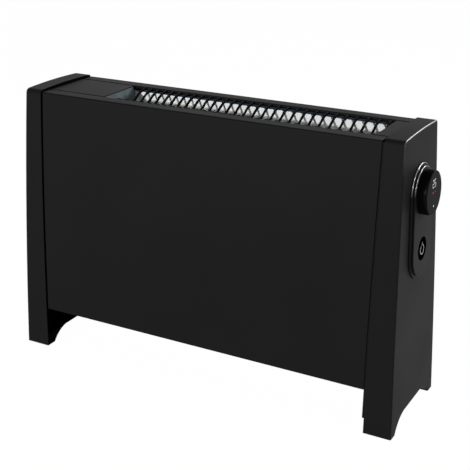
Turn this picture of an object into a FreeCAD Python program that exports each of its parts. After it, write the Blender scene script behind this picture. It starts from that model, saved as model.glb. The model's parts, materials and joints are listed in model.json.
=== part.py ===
# Convector heater with a plain panel front, two full-height end caps and a control module on its side.
# X runs along the width, Y from the front to the back and Z upwards, in millimetres.
# The pieces are drawn about the casing's middle, and the origin is then set under the outer box's middle.
import FreeCAD, Part
import math
import os
import Sketcher
from FreeCAD import Placement, Rotation, Vector

SIZES = (
    # outer form, seen from the front and from the side
    ("casing_height", 409.0),
    ("seam_half_width", 269.6),
    ("cap_foot_depth", 40.4),
    ("cap_top_depth", 27.5),
    ("foot_half_depth", 85.0),
    ("top_half_depth", 62.2),
    ("side_bulge", 3.2),
    # end caps and their feet
    ("cap_wall", 3.0),
    ("cap_rise", 2.2),
    ("cap_crown", 1.8),
    ("cap_front_radius", 7.0),
    ("cap_back_radius", 3.5),
    ("cap_edge_radius", 2.0),
    ("foot_length", 17.2),
    ("arch_rise", 19.7),
    ("arch_radius", 46.0),
    ("pad_thickness", 0.8),
    ("pad_margin", 3.0),
    # sheet casing
    ("sheet", 1.2),
    ("seam_gap", 3.4),
    ("panel_inset", 0.5),
    ("panel_bottom", 66.0),
    ("bend_radius", 2.2),
    ("front_lip_width", 21.4),
    ("back_lip_width", 22.0),
    ("lip_drop", 4.3),
    ("fold_radius", 2.0),
    ("side_flange", 12.0),
    ("bottom_flange", 14.0),
    ("end_plate_inset", 2.0),
    ("plate_seam", 0.8),
    ("cover_width", 94.7),
    ("strip_width", 17.8),
    ("wall_setback", 1.0),
    ("ledge_width", 12.0),
    ("wall_clearance", 1.0),
    ("intake_slot_length", 80.0),
    ("intake_slot_width", 4.0),
    ("intake_slot_pitch", 12.0),
    ("intake_slot_count", 11.0),
    ("floor_slot_length", 100.0),
    ("floor_slot_width", 6.0),
    ("floor_slot_margin", 15.5),
    ("floor_slot_count", 39.0),
    # outlet grille
    ("bar_count", 29.0),
    ("bar_thickness", 2.3),
    ("bar_height", 3.0),
    ("bar_first_gap", 19.6),
    ("bar_last_gap", 7.4),
    ("bar_pitch_growth", 0.132),
    ("bar_sink", 1.0),
    ("bar_slope", 31.0),
    ("bar_top_radius", 42.0),
    ("bar_bottom_radius", 8.0),
    ("rail_thickness", 1.2),
    ("rail_height", 1.5),
    # heating chamber
    ("shield_inset", 20.7),
    ("shield_sheet", 1.0),
    ("shield_lift", 34.0),
    ("shield_drop", 4.0),
    ("shield_end_gap", 0.5),
    ("shield_clearance", 0.3),
    ("element_height", 240.0),
    ("element_tube_radius", 5.0),
    ("element_overhang", 10.0),
    ("fin_depth", 64.0),
    ("fin_height", 42.0),
    ("fin_thickness", 0.8),
    ("fin_count", 45.0),
    ("fin_margin", 12.0),
    ("bush_radius", 9.0),
    ("bush_flange_radius", 12.0),
    ("bush_flange", 3.0),
    ("bush_length", 9.0),
    ("fixed_clearance", 0.1),
    ("cutout_size", 18.0),
    ("cutout_thickness", 8.0),
    ("cutout_step", 1.0),
    ("cutout_height", 300.0),
    # blower in the closed left compartment
    ("blower_height", 180.0),
    ("scroll_clearance", 5.15),
    ("scroll_wall", 2.0),
    ("scroll_half_width", 30.0),
    ("duct_height", 34.0),
    ("inlet_lap", 4.0),
    ("wheel_gap", 6.0),
    ("wheel_side_gap", 6.0),
    ("wheel_plate", 2.0),
    ("wheel_rim", 7.0),
    ("wheel_hub_radius", 7.0),
    ("wheel_hub_length", 16.0),
    ("blade_count", 24.0),
    ("blade_thickness", 1.2),
    ("blade_curve", 9.0),
    ("blade_sweep", 4.0),
    ("blade_setback", 1.2),
    ("shaft_radius", 3.0),
    ("shaft_hole_gap", 3.0),
    ("running_clearance", 0.05),
    ("motor_radius", 22.0),
    ("motor_cap_radius", 11.0),
    ("motor_clearance", 12.0),
    ("motor_end", 3.0),
    ("shaft_end_gap", 1.0),
    # electronics in the right cap
    ("board_half_width", 50.0),
    ("board_low", 62.0),
    ("board_high", 200.0),
    ("board_thickness", 1.6),
    ("standoff_length", 6.4),
    ("standoff_radius", 3.0),
    ("standoff_margin", 8.0),
    ("relay_depth", 15.0),
    ("relay_width", 19.0),
    ("relay_height", 26.0),
    ("relay_gap", 6.0),
    ("terminal_depth", 12.0),
    ("terminal_width", 30.0),
    ("terminal_height", 14.0),
    ("tilt_switch_size", 14.0),
    ("loom_radius", 3.0),
    ("loom_lift", 24.0),
    ("loom_clearance", 0.3),
    ("loom_bend", 20.0),
    # control module on the right cap
    ("knob_drop", 79.5),
    ("module_drop", 82.5),
    ("button_drop", 79.3),
    ("bezel_half_width", 38.6),
    ("bezel_thickness", 2.5),
    ("plate_half_width", 34.5),
    ("plate_thickness", 3.1),
    ("module_edge_radius", 1.5),
    ("wire_hole_radius", 10.0),
    ("drum_radius", 26.0),
    ("drum_wall", 1.5),
    ("dial_radius", 29.8),
    ("dial_height", 13.6),
    ("dial_edge_radius", 1.0),
    ("dial_rim", 1.2),
    ("dial_clearance", 0.3),
    ("lens_thickness", 1.4),
    ("display_board_radius", 22.0),
    ("display_board_height", 6.0),
    ("digit_block_width", 22.0),
    ("digit_block_height", 11.0),
    ("post_count", 3.0),
    ("post_radius", 2.0),
    ("post_circle", 18.0),
    ("button_radius", 16.2),
    ("button_thickness", 1.7),
    ("button_clearance", 0.3),
    ("button_travel", 1.2),
    ("stem_radius", 4.0),
    ("stem_hole_radius", 4.5),
    ("stem_reach", 0.4),
    ("switch_size", 12.0),
    ("switch_gap", 0.1),
    ("switch_height", 3.3),
    ("switch_board_size", 36.0),
    ("switch_post_spread", 13.0),
    # cable gland at the back of the right cap
    ("gland_height", 110.0),
    ("gland_setback", 18.0),
    ("gland_bore_radius", 4.0),
    ("gland_body_radius", 7.0),
    ("gland_flange_radius", 9.0),
    ("gland_flange", 2.6),
    ("gland_length", 14.0),
    # screws
    ("boss_radius", 5.0),
    ("upper_boss_drop", 39.0),
    ("upper_boss_spread", 44.0),
    ("lower_boss_height", 100.0),
    ("lower_boss_spread", 60.0),
    ("screw_radius", 1.9),
    ("screw_head_radius", 3.6),
    ("screw_head", 2.2),
    ("screw_length", 14.0),
    ("screw_clearance", 0.2),
    ("floor_screw_inset", 27.5),
    ("floor_screw_margin", 8.0),
    ("floor_screw_length", 8.0),
)

LEFT, RIGHT = 1, -1
TOUCHING = 0.01
ALONG_X, ALONG_Y, ALONG_Z = Vector(1, 0, 0), Vector(0, 1, 0), Vector(0, 0, 1)


def text_of(number):
    """The expression of a size, or a plain number written out."""
    return number.text if isinstance(number, Size) else repr(float(number))


class Size(float):
    """A length or count that keeps the sheet expression it was worked out by."""

    def __new__(cls, value, text):
        size = super().__new__(cls, value)
        size.text = text
        return size

    def __add__(self, other):
        return Size(float(self) + float(other), f"({self.text} + {text_of(other)})")

    def __radd__(self, other):
        return Size(float(other) + float(self), f"({text_of(other)} + {self.text})")

    def __sub__(self, other):
        return Size(float(self) - float(other), f"({self.text} - {text_of(other)})")

    def __rsub__(self, other):
        return Size(float(other) - float(self), f"({text_of(other)} - {self.text})")

    def __mul__(self, other):
        return Size(float(self) * float(other), f"({self.text} * {text_of(other)})")

    def __rmul__(self, other):
        return Size(float(other) * float(self), f"({text_of(other)} * {self.text})")

    def __truediv__(self, other):
        return Size(float(self) / float(other), f"({self.text} / {text_of(other)})")

    def __neg__(self):
        return Size(-float(self), f"(-1 * {self.text})")


def root(size):
    """Square root of a size."""
    return Size(math.sqrt(size), f"sqrt({text_of(size)})")


doc = FreeCAD.newDocument("PanelHeater")
sheet = doc.addObject("Spreadsheet::Sheet", "Sizes")
for row, (name, value) in enumerate(SIZES, start=1):
    sheet.set(f"A{row}", name)
    sheet.set(f"B{row}", str(value))
    sheet.setAlias(f"B{row}", name)
worked = doc.addObject("Spreadsheet::Sheet", "Worked")
doc.recompute()


class Sheet:
    """Gives each driving size by its name."""

    def __getattr__(self, name):
        return Size(sheet.get(name), f"Sizes.{name}")


s = Sheet()
parts = []


def named(name, size):
    """Keeps a worked-out size in its own cell, so that later expressions stay short."""
    row = len(worked.getNonEmptyCells()) + 1
    worked.set(f"A{row}", f"={size.text}")
    worked.setAlias(f"A{row}", name)
    return Size(float(size), f"Worked.{name}")


def bind(thing, field, size):
    """Sets a field of an object to a size, by its expression."""
    thing.setExpression(field, text_of(size))


# Curves and places that many pieces follow

chord = named("chord", root((s.foot_half_depth - s.top_half_depth) * (s.foot_half_depth - s.top_half_depth)
                            + s.casing_height * s.casing_height))
curve_radius = named("curve_radius", (chord * chord / 4 + s.side_bulge * s.side_bulge) / (2 * s.side_bulge))
curve_y = named("curve_y", (s.foot_half_depth + s.top_half_depth) / 2
                - (curve_radius - s.side_bulge) * s.casing_height / chord)
curve_z = named("curve_z", s.casing_height / 2
                - (curve_radius - s.side_bulge) * (s.foot_half_depth - s.top_half_depth) / chord)
crown_radius = named("crown_radius", (s.top_half_depth * s.top_half_depth + s.cap_crown * s.cap_crown)
                     / (2 * s.cap_crown))
crown_z = named("crown_z", s.casing_height + s.cap_rise + s.cap_crown - crown_radius)
foot_half_width = named("foot_half_width", s.seam_half_width + s.cap_foot_depth)
lean = named("lean", (s.cap_foot_depth - s.cap_top_depth) / s.casing_height)
lean_angle = math.degrees(math.atan(lean))
casing_half_width = named("casing_half_width", s.seam_half_width - s.seam_gap)
sheet_inset = named("sheet_inset", s.panel_inset + s.sheet)
floor_top = named("floor_top", s.panel_bottom + 2 * s.sheet)
lid_underside = named("lid_underside", s.casing_height - s.sheet)
lip_bottom = named("lip_bottom", s.casing_height - s.lip_drop)
fold_z = named("fold_z", s.casing_height - s.fold_radius)
front_lip_edge = named("front_lip_edge", s.top_half_depth - s.front_lip_width)
back_lip_edge = named("back_lip_edge", s.top_half_depth - s.back_lip_width)
cover_right_edge = named("cover_right_edge", s.cover_width - casing_half_width)
strip_left_edge = named("strip_left_edge", casing_half_width - s.strip_width)
partition_right = named("partition_right", cover_right_edge - s.wall_setback)
partition_left = named("partition_left", partition_right - s.sheet)
chamber_end = named("chamber_end", strip_left_edge + s.wall_setback)
shield_left = named("shield_left", partition_right + s.shield_end_gap)
floor_screw_spread = named("floor_screw_spread", casing_half_width - s.floor_screw_inset)
upper_boss_height = named("upper_boss_height", s.casing_height - s.upper_boss_drop)
knob_height = named("knob_height", s.casing_height - s.knob_drop)
module_top = named("module_top", s.bezel_thickness + s.plate_thickness)
loom_height = named("loom_height", s.panel_bottom + s.loom_lift)
blower_x = named("blower_x", (partition_left - casing_half_width) / 2)
scroll_radius = named("scroll_radius", (partition_left + casing_half_width) / 2 - s.scroll_clearance)
wheel_radius = named("wheel_radius", scroll_radius - s.scroll_wall - s.wheel_gap)
wheel_width = named("wheel_width", 2 * (s.scroll_half_width - s.scroll_wall - s.wheel_side_gap))


def depth_at(height, inset):
    """Half depth of the long side curve at a height, set in by an amount."""
    radius = curve_radius - inset
    rise = height - curve_z
    return curve_y + root(radius * radius - rise * rise)


def cap_corner(name, radius):
    """The round corner between a cap's front or back and its crowned top, drawn towards +Y.

    Its centre lies where the circles of both, drawn in by the corner's radius, meet. It is given by its
    radius, the point where it leaves the side and the point where it meets the crown.
    """
    side, top = curve_radius - radius, crown_radius - radius
    rise = crown_z - curve_z
    apart = named(f"{name}_apart", root(curve_y * curve_y + rise * rise))
    along = named(f"{name}_along", (side * side - top * top + apart * apart) / (2 * apart))
    aside = named(f"{name}_aside", root(side * side - along * along))
    y = named(f"{name}_y", curve_y - (along * curve_y + aside * rise) / apart)
    z = named(f"{name}_z", curve_z + (along * rise - aside * curve_y) / apart)
    on_side = curve_y + (y - curve_y) * curve_radius / side, curve_z + (z - curve_z) * curve_radius / side
    on_crown = y * crown_radius / top, crown_z + (z - crown_z) * crown_radius / top
    return radius, on_side, on_crown


front_corner = cap_corner("front_corner", s.cap_front_radius)
back_corner = cap_corner("back_corner", s.cap_back_radius)
motor_length = named("motor_length", depth_at(s.blower_height + s.motor_radius, sheet_inset)
                     - s.scroll_half_width - s.motor_clearance)
motor_middle = named("motor_middle", s.scroll_half_width + motor_length / 2)


def outside_at(height):
    """Half width of the heater at a height, on the caps' leaning outer faces."""
    return foot_half_width - lean * height


# Makers of sketches, features and primitives

def add_body(label):
    """Starts a sub-part that is built from sketches."""
    body = doc.addObject("PartDesign::Body", label)
    body.Label = label
    return body


def add_sketch(body, plane, offset=0.0, tilt=0.0):
    """Starts a sketch on one of a body's own planes, moved along the plane's normal and then tilted."""
    sketch = body.newObject("Sketcher::SketchObject", f"{body.Name}Sketch")
    support = next(feature for feature in body.Origin.OriginFeatures if feature.Role == plane)
    sketch.AttachmentSupport = [(support, "")]
    sketch.MapMode = "FlatFace"
    sketch.AttachmentOffset = Placement(Vector(0, 0, float(offset)), Rotation(ALONG_X, tilt))
    bind(sketch, "AttachmentOffset.Base.z", offset)
    return sketch


def pin_point(sketch, edge, end, across, up):
    """Fixes one point of a sketch at two sizes from the sketch's origin."""
    for kind, size in (("DistanceX", across), ("DistanceY", up)):
        index = sketch.addConstraint(Sketcher.Constraint(kind, -1, 1, edge, end, float(size)))
        if isinstance(size, Size):
            sketch.setExpression(f"Constraints[{index}]", size.text)


def draw(sketch, corners):
    """Draws a closed outline. A corner with a radius and a side starts an arc to the next corner."""
    first = sketch.GeometryCount
    starts, ends = [], []
    for index, corner in enumerate(corners):
        following = corners[(index + 1) % len(corners)]
        begin, finish = Vector(corner[0], corner[1], 0), Vector(following[0], following[1], 0)
        if len(corner) == 2:
            sketch.addGeometry(Part.LineSegment(begin, finish))
        else:
            radius, side = float(corner[2]), corner[3]
            run = finish - begin
            square = Vector(-run.y, run.x, 0).normalize() * side
            centre = (begin + finish) * 0.5 + square * math.sqrt(radius ** 2 - (run.Length / 2) ** 2)
            angles = [math.atan2((point - centre).y, (point - centre).x) for point in (begin, finish)]
            low, high = angles if side == LEFT else reversed(angles)
            circle = Part.Circle(centre, ALONG_Z, radius)
            sketch.addGeometry(Part.ArcOfCircle(circle, low, high if high > low else high + 2 * math.pi))
        turned = len(corner) == 4 and corner[3] == RIGHT
        starts.append(2 if turned else 1)
        ends.append(1 if turned else 2)
    for index, corner in enumerate(corners):
        edge = first + index
        following = first + (index + 1) % len(corners)
        next_start = starts[(index + 1) % len(corners)]
        sketch.addConstraint(Sketcher.Constraint("Coincident", edge, ends[index], following, next_start))
        pin_point(sketch, edge, starts[index], corner[0], corner[1])
        if len(corner) == 4:
            radius_index = sketch.addConstraint(Sketcher.Constraint("Radius", edge, float(corner[2])))
            sketch.setExpression(f"Constraints[{radius_index}]", text_of(corner[2]))


def draw_circle(sketch, across, up, radius):
    """Draws a circle."""
    circle = Part.Circle(Vector(float(across), float(up), 0), ALONG_Z, float(radius))
    edge = sketch.addGeometry(circle)
    pin_point(sketch, edge, 3, across, up)
    index = sketch.addConstraint(Sketcher.Constraint("Radius", edge, float(radius)))
    sketch.setExpression(f"Constraints[{index}]", text_of(radius))


def rectangle(low_across, low_up, high_across, high_up):
    """Corners of a rectangle."""
    return [(low_across, low_up), (high_across, low_up), (high_across, high_up), (low_across, high_up)]


def obround(half_width, centre_drop):
    """Corners of an upright slot shape, from its upper centre at the origin to one a drop below."""
    low = -centre_drop
    return [
        (half_width, 0.0, half_width, LEFT), (0.0, half_width, half_width, LEFT), (-half_width, 0.0),
        (-half_width, low, half_width, LEFT), (0.0, low - half_width, half_width, LEFT), (half_width, low),
    ]


def add_feature(body, kind, sketch, length, side="One side", backwards=False):
    """Pads or pockets a sketch by a length; a pocket has to take something away."""
    before = body.Shape.Volume if body.Shape.Solids else 0.0
    feature = body.newObject(f"PartDesign::{kind}", f"{body.Name}{kind}")
    feature.Profile = sketch
    feature.SideType = side
    feature.Reversed = backwards
    if length is None:
        feature.Type = "ThroughAll"
    else:
        bind(feature, "Length", length)
    doc.recompute()
    if kind == "Pocket" and body.Shape.Volume >= before:
        raise RuntimeError(f"{body.Label}: a pocket took nothing away")
    return feature


def pad(body, sketch, length, **options):
    """Adds a sketch's area along its normal."""
    return add_feature(body, "Pad", sketch, length, **options)


def pocket(body, sketch, length, **options):
    """Takes a sketch's area away, against its normal unless turned backwards."""
    return add_feature(body, "Pocket", sketch, length, **options)


def fillet(body, radius, chosen):
    """Rounds the edges that a test picks."""
    base = body.Tip
    edges = [f"Edge{i}" for i, edge in enumerate(base.Shape.Edges, start=1) if chosen(edge)]
    feature = body.newObject("PartDesign::Fillet", f"{body.Name}Fillet")
    feature.Base = (base, edges)
    bind(feature, "Radius", radius)
    doc.recompute()


def repeat_along(body, feature, axis, run, count):
    """Repeats a feature in an even row, whose first and last copies stand a run apart."""
    pattern = body.newObject("PartDesign::LinearPattern", f"{body.Name}Row")
    pattern.Originals = [feature]
    direction = next(item for item in body.Origin.OriginFeatures if item.Role == axis)
    pattern.Direction = (direction, [""])
    pattern.Occurrences = int(count)
    bind(pattern, "Length", run)
    body.Tip = pattern
    doc.recompute()


def repeat_round(body, feature, axis, count):
    """Repeats a feature round one of a body's own axes."""
    pattern = body.newObject("PartDesign::PolarPattern", f"{body.Name}Ring")
    pattern.Originals = [feature]
    centre_line = next(item for item in body.Origin.OriginFeatures if item.Role == axis)
    pattern.Axis = (centre_line, [""])
    pattern.Angle = 360
    bind(pattern, "Occurrences", count)
    body.Tip = pattern
    doc.recompute()


def revolve(body, corners):
    """Turns an outline, given as radius and height, about the body's Z axis."""
    sketch = add_sketch(body, "XZ_Plane")
    draw(sketch, corners)
    feature = body.newObject("PartDesign::Revolution", f"{body.Name}Turned")
    feature.Profile = sketch
    feature.ReferenceAxis = (sketch, ["V_Axis"])
    feature.Angle = 360
    doc.recompute()


def bind_place(thing, base, rotation=None):
    """Places a primitive at a point given in sizes."""
    thing.Placement = Placement(Vector(*map(float, base)), rotation or Rotation())
    for axis, size in zip("xyz", base):
        bind(thing, f"Placement.Base.{axis}", size)


def box(label, low, high):
    """A block between two corners."""
    block = doc.addObject("Part::Box", label)
    block.Label = label
    for field, start, end in zip(("Length", "Width", "Height"), low, high):
        bind(block, field, end - start)
    bind_place(block, low)
    return block


def cylinder(label, base, axis, radius, height):
    """A round bar that starts at a point and runs along an axis."""
    bar = doc.addObject("Part::Cylinder", label)
    bar.Label = label
    bind(bar, "Radius", radius)
    bind(bar, "Height", height)
    bind_place(bar, base, Rotation(ALONG_Z, axis))
    return bar


def fuse(label, pieces):
    """Joins shapes into one."""
    joined = doc.addObject("Part::MultiFuse", label)
    joined.Label = label
    joined.Shapes = pieces
    joined.Refine = True
    return joined


def cut(label, base, tool):
    """Takes one shape from another."""
    result = doc.addObject("Part::Cut", label)
    result.Label = label
    result.Base = base
    result.Tool = tool
    return result


def group(label, pieces):
    """Keeps like solids together as one sub-part."""
    bundle = doc.addObject("Part::Compound", label)
    bundle.Label = label
    bundle.Links = pieces
    return bundle


def keep(thing, placement=None):
    """Marks an object as a finished sub-part, with its place on the heater."""
    parts.append((thing, placement or Placement()))


HALF_TURN = Placement(Vector(), Rotation(ALONG_Z, 180))


# Sheet-metal casing

def sheet_panel(label, lip_edge):
    """A front or back panel: a bowed sheet with a folded lip on top and flanges on its other edges.

    It is drawn as the back panel, with the outer face towards +Y.
    """
    outer, inner = curve_radius - s.panel_inset, curve_radius - sheet_inset
    reach = outer - s.bend_radius
    bend_z = s.casing_height - s.bend_radius
    bend_rise = bend_z - curve_z
    bend_y = curve_y + root(reach * reach - bend_rise * bend_rise)

    def on_bend(radius):
        """The point where the bow meets the bend, on the circle of a radius."""
        return curve_y + (bend_y - curve_y) * radius / reach, curve_z + bend_rise * radius / reach

    bottom_inside = s.panel_bottom + s.sheet
    flange_edge = depth_at(bottom_inside, sheet_inset) - s.bottom_flange
    body = add_body(label)
    profile = add_sketch(body, "YZ_Plane")
    draw(profile, [
        (depth_at(s.panel_bottom, s.panel_inset), s.panel_bottom, outer, LEFT),
        (*on_bend(outer), s.bend_radius, LEFT),
        (bend_y, s.casing_height),
        (lip_edge + s.fold_radius, s.casing_height, s.fold_radius, LEFT),
        (lip_edge, fold_z),
        (lip_edge, lip_bottom),
        (lip_edge + s.sheet, lip_bottom),
        (lip_edge + s.sheet, fold_z, s.fold_radius - s.sheet, RIGHT),
        (lip_edge + s.fold_radius, lid_underside),
        (bend_y, lid_underside, s.bend_radius - s.sheet, RIGHT),
        (*on_bend(inner), inner, RIGHT),
        (depth_at(bottom_inside, sheet_inset), bottom_inside),
        (flange_edge, bottom_inside),
        (flange_edge, s.panel_bottom),
    ])
    pad(body, profile, 2 * casing_half_width, side="Symmetric")
    for offset in (-casing_half_width, casing_half_width - s.sheet):
        flange = add_sketch(body, "YZ_Plane", offset)
        deep = sheet_inset + s.side_flange
        draw(flange, [
            (depth_at(bottom_inside, deep), bottom_inside),
            (depth_at(bottom_inside, sheet_inset), bottom_inside, inner, LEFT),
            (depth_at(lip_bottom, sheet_inset), lip_bottom),
            (depth_at(lip_bottom, deep), lip_bottom, curve_radius - deep, RIGHT),
        ])
        pad(body, flange, s.sheet)
    holes = add_sketch(body, "XY_Plane", s.panel_bottom)
    for x in (-floor_screw_spread, 0.0, floor_screw_spread):
        draw_circle(holes, x, floor_screw_y(), s.screw_radius + s.screw_clearance)
    pocket(body, holes, s.sheet, backwards=True)
    return body


def floor_screw_y():
    """Where the screws through the bottom flanges stand, from the middle."""
    return depth_at(s.panel_bottom, sheet_inset) - s.floor_screw_margin


def back_panel():
    """The back panel, with a block of air slots behind the blower."""
    body = sheet_panel("back_panel", back_lip_edge)
    slots = add_sketch(body, "XZ_Plane", -s.foot_half_depth)
    half = s.intake_slot_length / 2
    low = s.blower_height - (s.intake_slot_pitch * (s.intake_slot_count - 1) + s.intake_slot_width) / 2
    draw(slots, rectangle(blower_x - half, low, blower_x + half, low + s.intake_slot_width))
    first = pocket(body, slots, s.foot_half_depth - s.top_half_depth, backwards=True)
    repeat_along(body, first, "Z_Axis", s.intake_slot_pitch * (s.intake_slot_count - 1), s.intake_slot_count)
    keep(body)


def end_plate(label, side):
    """Plate that closes a cap's hollow and carries the panels, at the bottom of the dark seam."""
    body = add_body(label)
    profile = add_sketch(body, "YZ_Plane", casing_half_width)
    bottom = s.pad_thickness + s.arch_rise + s.end_plate_inset
    top = s.casing_height - s.end_plate_inset
    low, high = depth_at(bottom, s.end_plate_inset), depth_at(top, s.end_plate_inset)
    radius = curve_radius - s.end_plate_inset
    draw(profile, [(-low, bottom), (low, bottom, radius, LEFT), (high, top), (-high, top, radius, LEFT)])
    for y, z in boss_places():
        draw_circle(profile, y, z, s.screw_radius + s.screw_clearance)
    if side == RIGHT:
        draw_circle(profile, motor_middle, loom_height, s.loom_radius + s.loom_clearance)
    pad(body, profile, s.seam_gap)
    keep(body, Placement() if side == RIGHT else HALF_TURN)


def boss_places():
    """Where the screws of a cap stand, as Y and Z."""
    upper, lower = s.upper_boss_spread, s.lower_boss_spread
    return ((-upper, upper_boss_height), (upper, upper_boss_height),
            (-lower, s.lower_boss_height), (lower, s.lower_boss_height))


def top_plate(label, start, end):
    """A closed end of the top, level with the lips and folded down beside them."""
    front, back = -front_lip_edge + s.plate_seam, back_lip_edge - s.plate_seam
    bend, inner_bend = s.fold_radius, s.fold_radius - s.sheet
    body = add_body(label)
    profile = add_sketch(body, "YZ_Plane", start)
    draw(profile, [
        (front, lip_bottom), (front + s.sheet, lip_bottom),
        (front + s.sheet, fold_z, inner_bend, RIGHT), (front + bend, lid_underside),
        (back - bend, lid_underside, inner_bend, RIGHT), (back - s.sheet, fold_z),
        (back - s.sheet, lip_bottom), (back, lip_bottom),
        (back, fold_z, bend, LEFT), (back - bend, s.casing_height),
        (front + bend, s.casing_height, bend, LEFT), (front, fold_z),
    ])
    pad(body, profile, end - start)
    keep(body)


def top_plates():
    """The plates that close the top at both ends of the outlet."""
    top_plate("top_cover_plate", -casing_half_width, cover_right_edge)
    top_plate("top_end_strip", strip_left_edge, casing_half_width)


def cross_wall(label, left, ledge_backwards, holes):
    """A galvanised wall across the casing, with a ledge that carries the top plate beside it."""
    body = add_body(label)
    inset = sheet_inset + s.wall_clearance
    top = lip_bottom - s.wall_clearance
    low, high = depth_at(floor_top, inset), depth_at(top, inset)
    fold_inside = s.plate_seam + s.sheet + s.wall_clearance
    front, back = -front_lip_edge + fold_inside, back_lip_edge - fold_inside
    radius = curve_radius - inset
    profile = add_sketch(body, "YZ_Plane", left)
    draw(profile, [(-low, floor_top), (low, floor_top, radius, LEFT), (high, top), (back, top),
                   (back, lid_underside), (front, lid_underside), (front, top), (-high, top, radius, LEFT)])
    draw_circle(profile, 0.0, s.element_height, s.bush_radius + s.fixed_clearance)
    draw_circle(profile, motor_middle, loom_height, s.loom_radius + s.loom_clearance)
    for corners in holes:
        draw(profile, corners)
    pad(body, profile, s.sheet)
    ledge = add_sketch(body, "YZ_Plane", left if ledge_backwards else left + s.sheet)
    draw(ledge, rectangle(front, lid_underside - s.sheet, back, lid_underside))
    pad(body, ledge, s.ledge_width, backwards=ledge_backwards)
    keep(body)


def cross_walls():
    """The partition beside the blower, with the blower's window, and the chamber's right end."""
    half = s.scroll_half_width - s.scroll_wall
    low = s.blower_height - scroll_radius + s.scroll_wall
    window = rectangle(-half, low, half, low + s.duct_height - 2 * s.scroll_wall)
    cross_wall("partition_plate", partition_left, True, [window])
    cross_wall("chamber_end_plate", chamber_end, False, [])


def heat_shield(label, start, end, placement):
    """A bright sheet inside a panel, bent out to it at the top and bottom; drawn for the back."""
    body = add_body(label)
    reach = sheet_inset + s.shield_clearance
    near, far = s.shield_inset, s.shield_inset + s.shield_sheet
    low, high = s.panel_bottom + s.shield_lift, lip_bottom - s.shield_drop
    low_top, high_under = low + s.shield_sheet, high - s.shield_sheet
    profile = add_sketch(body, "YZ_Plane", start)
    draw(profile, [
        (depth_at(low, far), low), (depth_at(low, reach), low), (depth_at(low_top, reach), low_top),
        (depth_at(low_top, near), low_top, curve_radius - near, LEFT),
        (depth_at(high_under, near), high_under), (depth_at(high_under, reach), high_under),
        (depth_at(high, reach), high), (depth_at(high, far), high, curve_radius - far, RIGHT),
    ])
    pad(body, profile, end - start)
    keep(body, placement)


def bottom_grille():
    """The slotted floor sheet, screwed to the panels' bottom flanges."""
    body = add_body("bottom_grille")
    floor_bottom = s.panel_bottom + s.sheet
    half_width = casing_half_width - s.sheet - s.plate_seam
    half_depth = depth_at(floor_top, sheet_inset) - s.plate_seam
    plate = add_sketch(body, "XY_Plane", floor_bottom)
    draw(plate, rectangle(-half_width, -half_depth, half_width, half_depth))
    for x in (-floor_screw_spread, 0.0, floor_screw_spread):
        for y in (-floor_screw_y(), floor_screw_y()):
            draw_circle(plate, x, y, s.screw_radius + s.screw_clearance)
    pad(body, plate, s.sheet)
    row_start = s.floor_slot_margin - half_width
    slot = add_sketch(body, "XY_Plane", floor_bottom)
    draw(slot, rectangle(row_start, -s.floor_slot_length / 2,
                         row_start + s.floor_slot_width, s.floor_slot_length / 2))
    first = pocket(body, slot, s.sheet, backwards=True)
    repeat_along(body, first, "X_Axis", -2 * row_start - s.floor_slot_width, s.floor_slot_count)
    keep(body)


# Outlet grille, whose bars stand wider apart towards the right

def bar_side(x, middle, half, sunk):
    """One long edge of a bar in the plane X = x, from its back end to its front end.

    Both shoulders and the dip between them are arcs, joined by straight slopes. The edge lies below the
    bar's top by the amount sunk.
    """
    slope = math.radians(s.bar_slope)
    shoulder, dip = s.bar_top_radius - sunk, s.bar_bottom_radius + sunk
    shoulder_z = s.casing_height - s.bar_sink - s.bar_top_radius
    overlap = s.bar_top_radius + s.bar_bottom_radius - half * math.sin(slope)
    dip_z = shoulder_z + overlap / math.cos(slope)

    def on_shoulder(angle, way):
        """A point of a shoulder, at an angle from its crest."""
        return Vector(x, middle + way * (half - shoulder * math.sin(angle)),
                      shoulder_z + shoulder * math.cos(angle))

    def in_dip(angle, way):
        """A point of the dip, at an angle from its lowest point."""
        return Vector(x, middle + way * dip * math.sin(angle), dip_z - dip * math.cos(angle))

    back = [on_shoulder(angle, 1) for angle in (0, slope / 2, slope)]
    low = [in_dip(slope, 1), in_dip(0, 1), in_dip(slope, -1)]
    front = [on_shoulder(angle, -1) for angle in (slope, slope / 2, 0)]
    return [
        Part.Arc(*back).toShape(), Part.LineSegment(back[2], low[0]).toShape(), Part.Arc(*low).toShape(),
        Part.LineSegment(low[2], front[0]).toShape(), Part.Arc(*front).toShape(),
    ]


def grille_bar(x, middle, half):
    """One bar, centred on the plane X = x."""
    left = x - s.bar_thickness / 2
    over, under = bar_side(left, middle, half, 0.0), bar_side(left, middle, half, s.bar_height)
    ends = [Part.LineSegment(upper, lower).toShape() for upper, lower in (
        (over[0].firstVertex().Point, under[0].firstVertex().Point),
        (over[-1].lastVertex().Point, under[-1].lastVertex().Point))]
    outline = Part.Wire(Part.__sortEdges__(over + under + ends))
    return Part.Face(outline).extrude(Vector(s.bar_thickness, 0, 0))


def outlet_grille():
    """The bars between two rails, as one piece that hangs between the lips."""
    rail = s.rail_thickness
    front, back = -front_lip_edge, back_lip_edge
    length = strip_left_edge - cover_right_edge
    rails = [Part.makeBox(length, rail, s.rail_height, Vector(cover_right_edge, y, lip_bottom))
             for y in (front, back - rail)]
    middle, half = (front + back) / 2, (back - front - rail) / 2
    gaps = s.bar_count - 1
    run = length - s.bar_first_gap - s.bar_last_gap
    pitch = run / gaps - s.bar_pitch_growth * (gaps - 1) / 2
    x = cover_right_edge + s.bar_first_gap
    bars = []
    for _ in range(int(s.bar_count)):
        bars.append(grille_bar(x, middle, half))
        x, pitch = x + pitch, pitch + s.bar_pitch_growth
    grille = doc.addObject("Part::Feature", "outlet_grille")
    grille.Shape = rails[0].multiFuse(rails[1:] + bars).removeSplitter()
    keep(grille)


# Heating chamber

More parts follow.
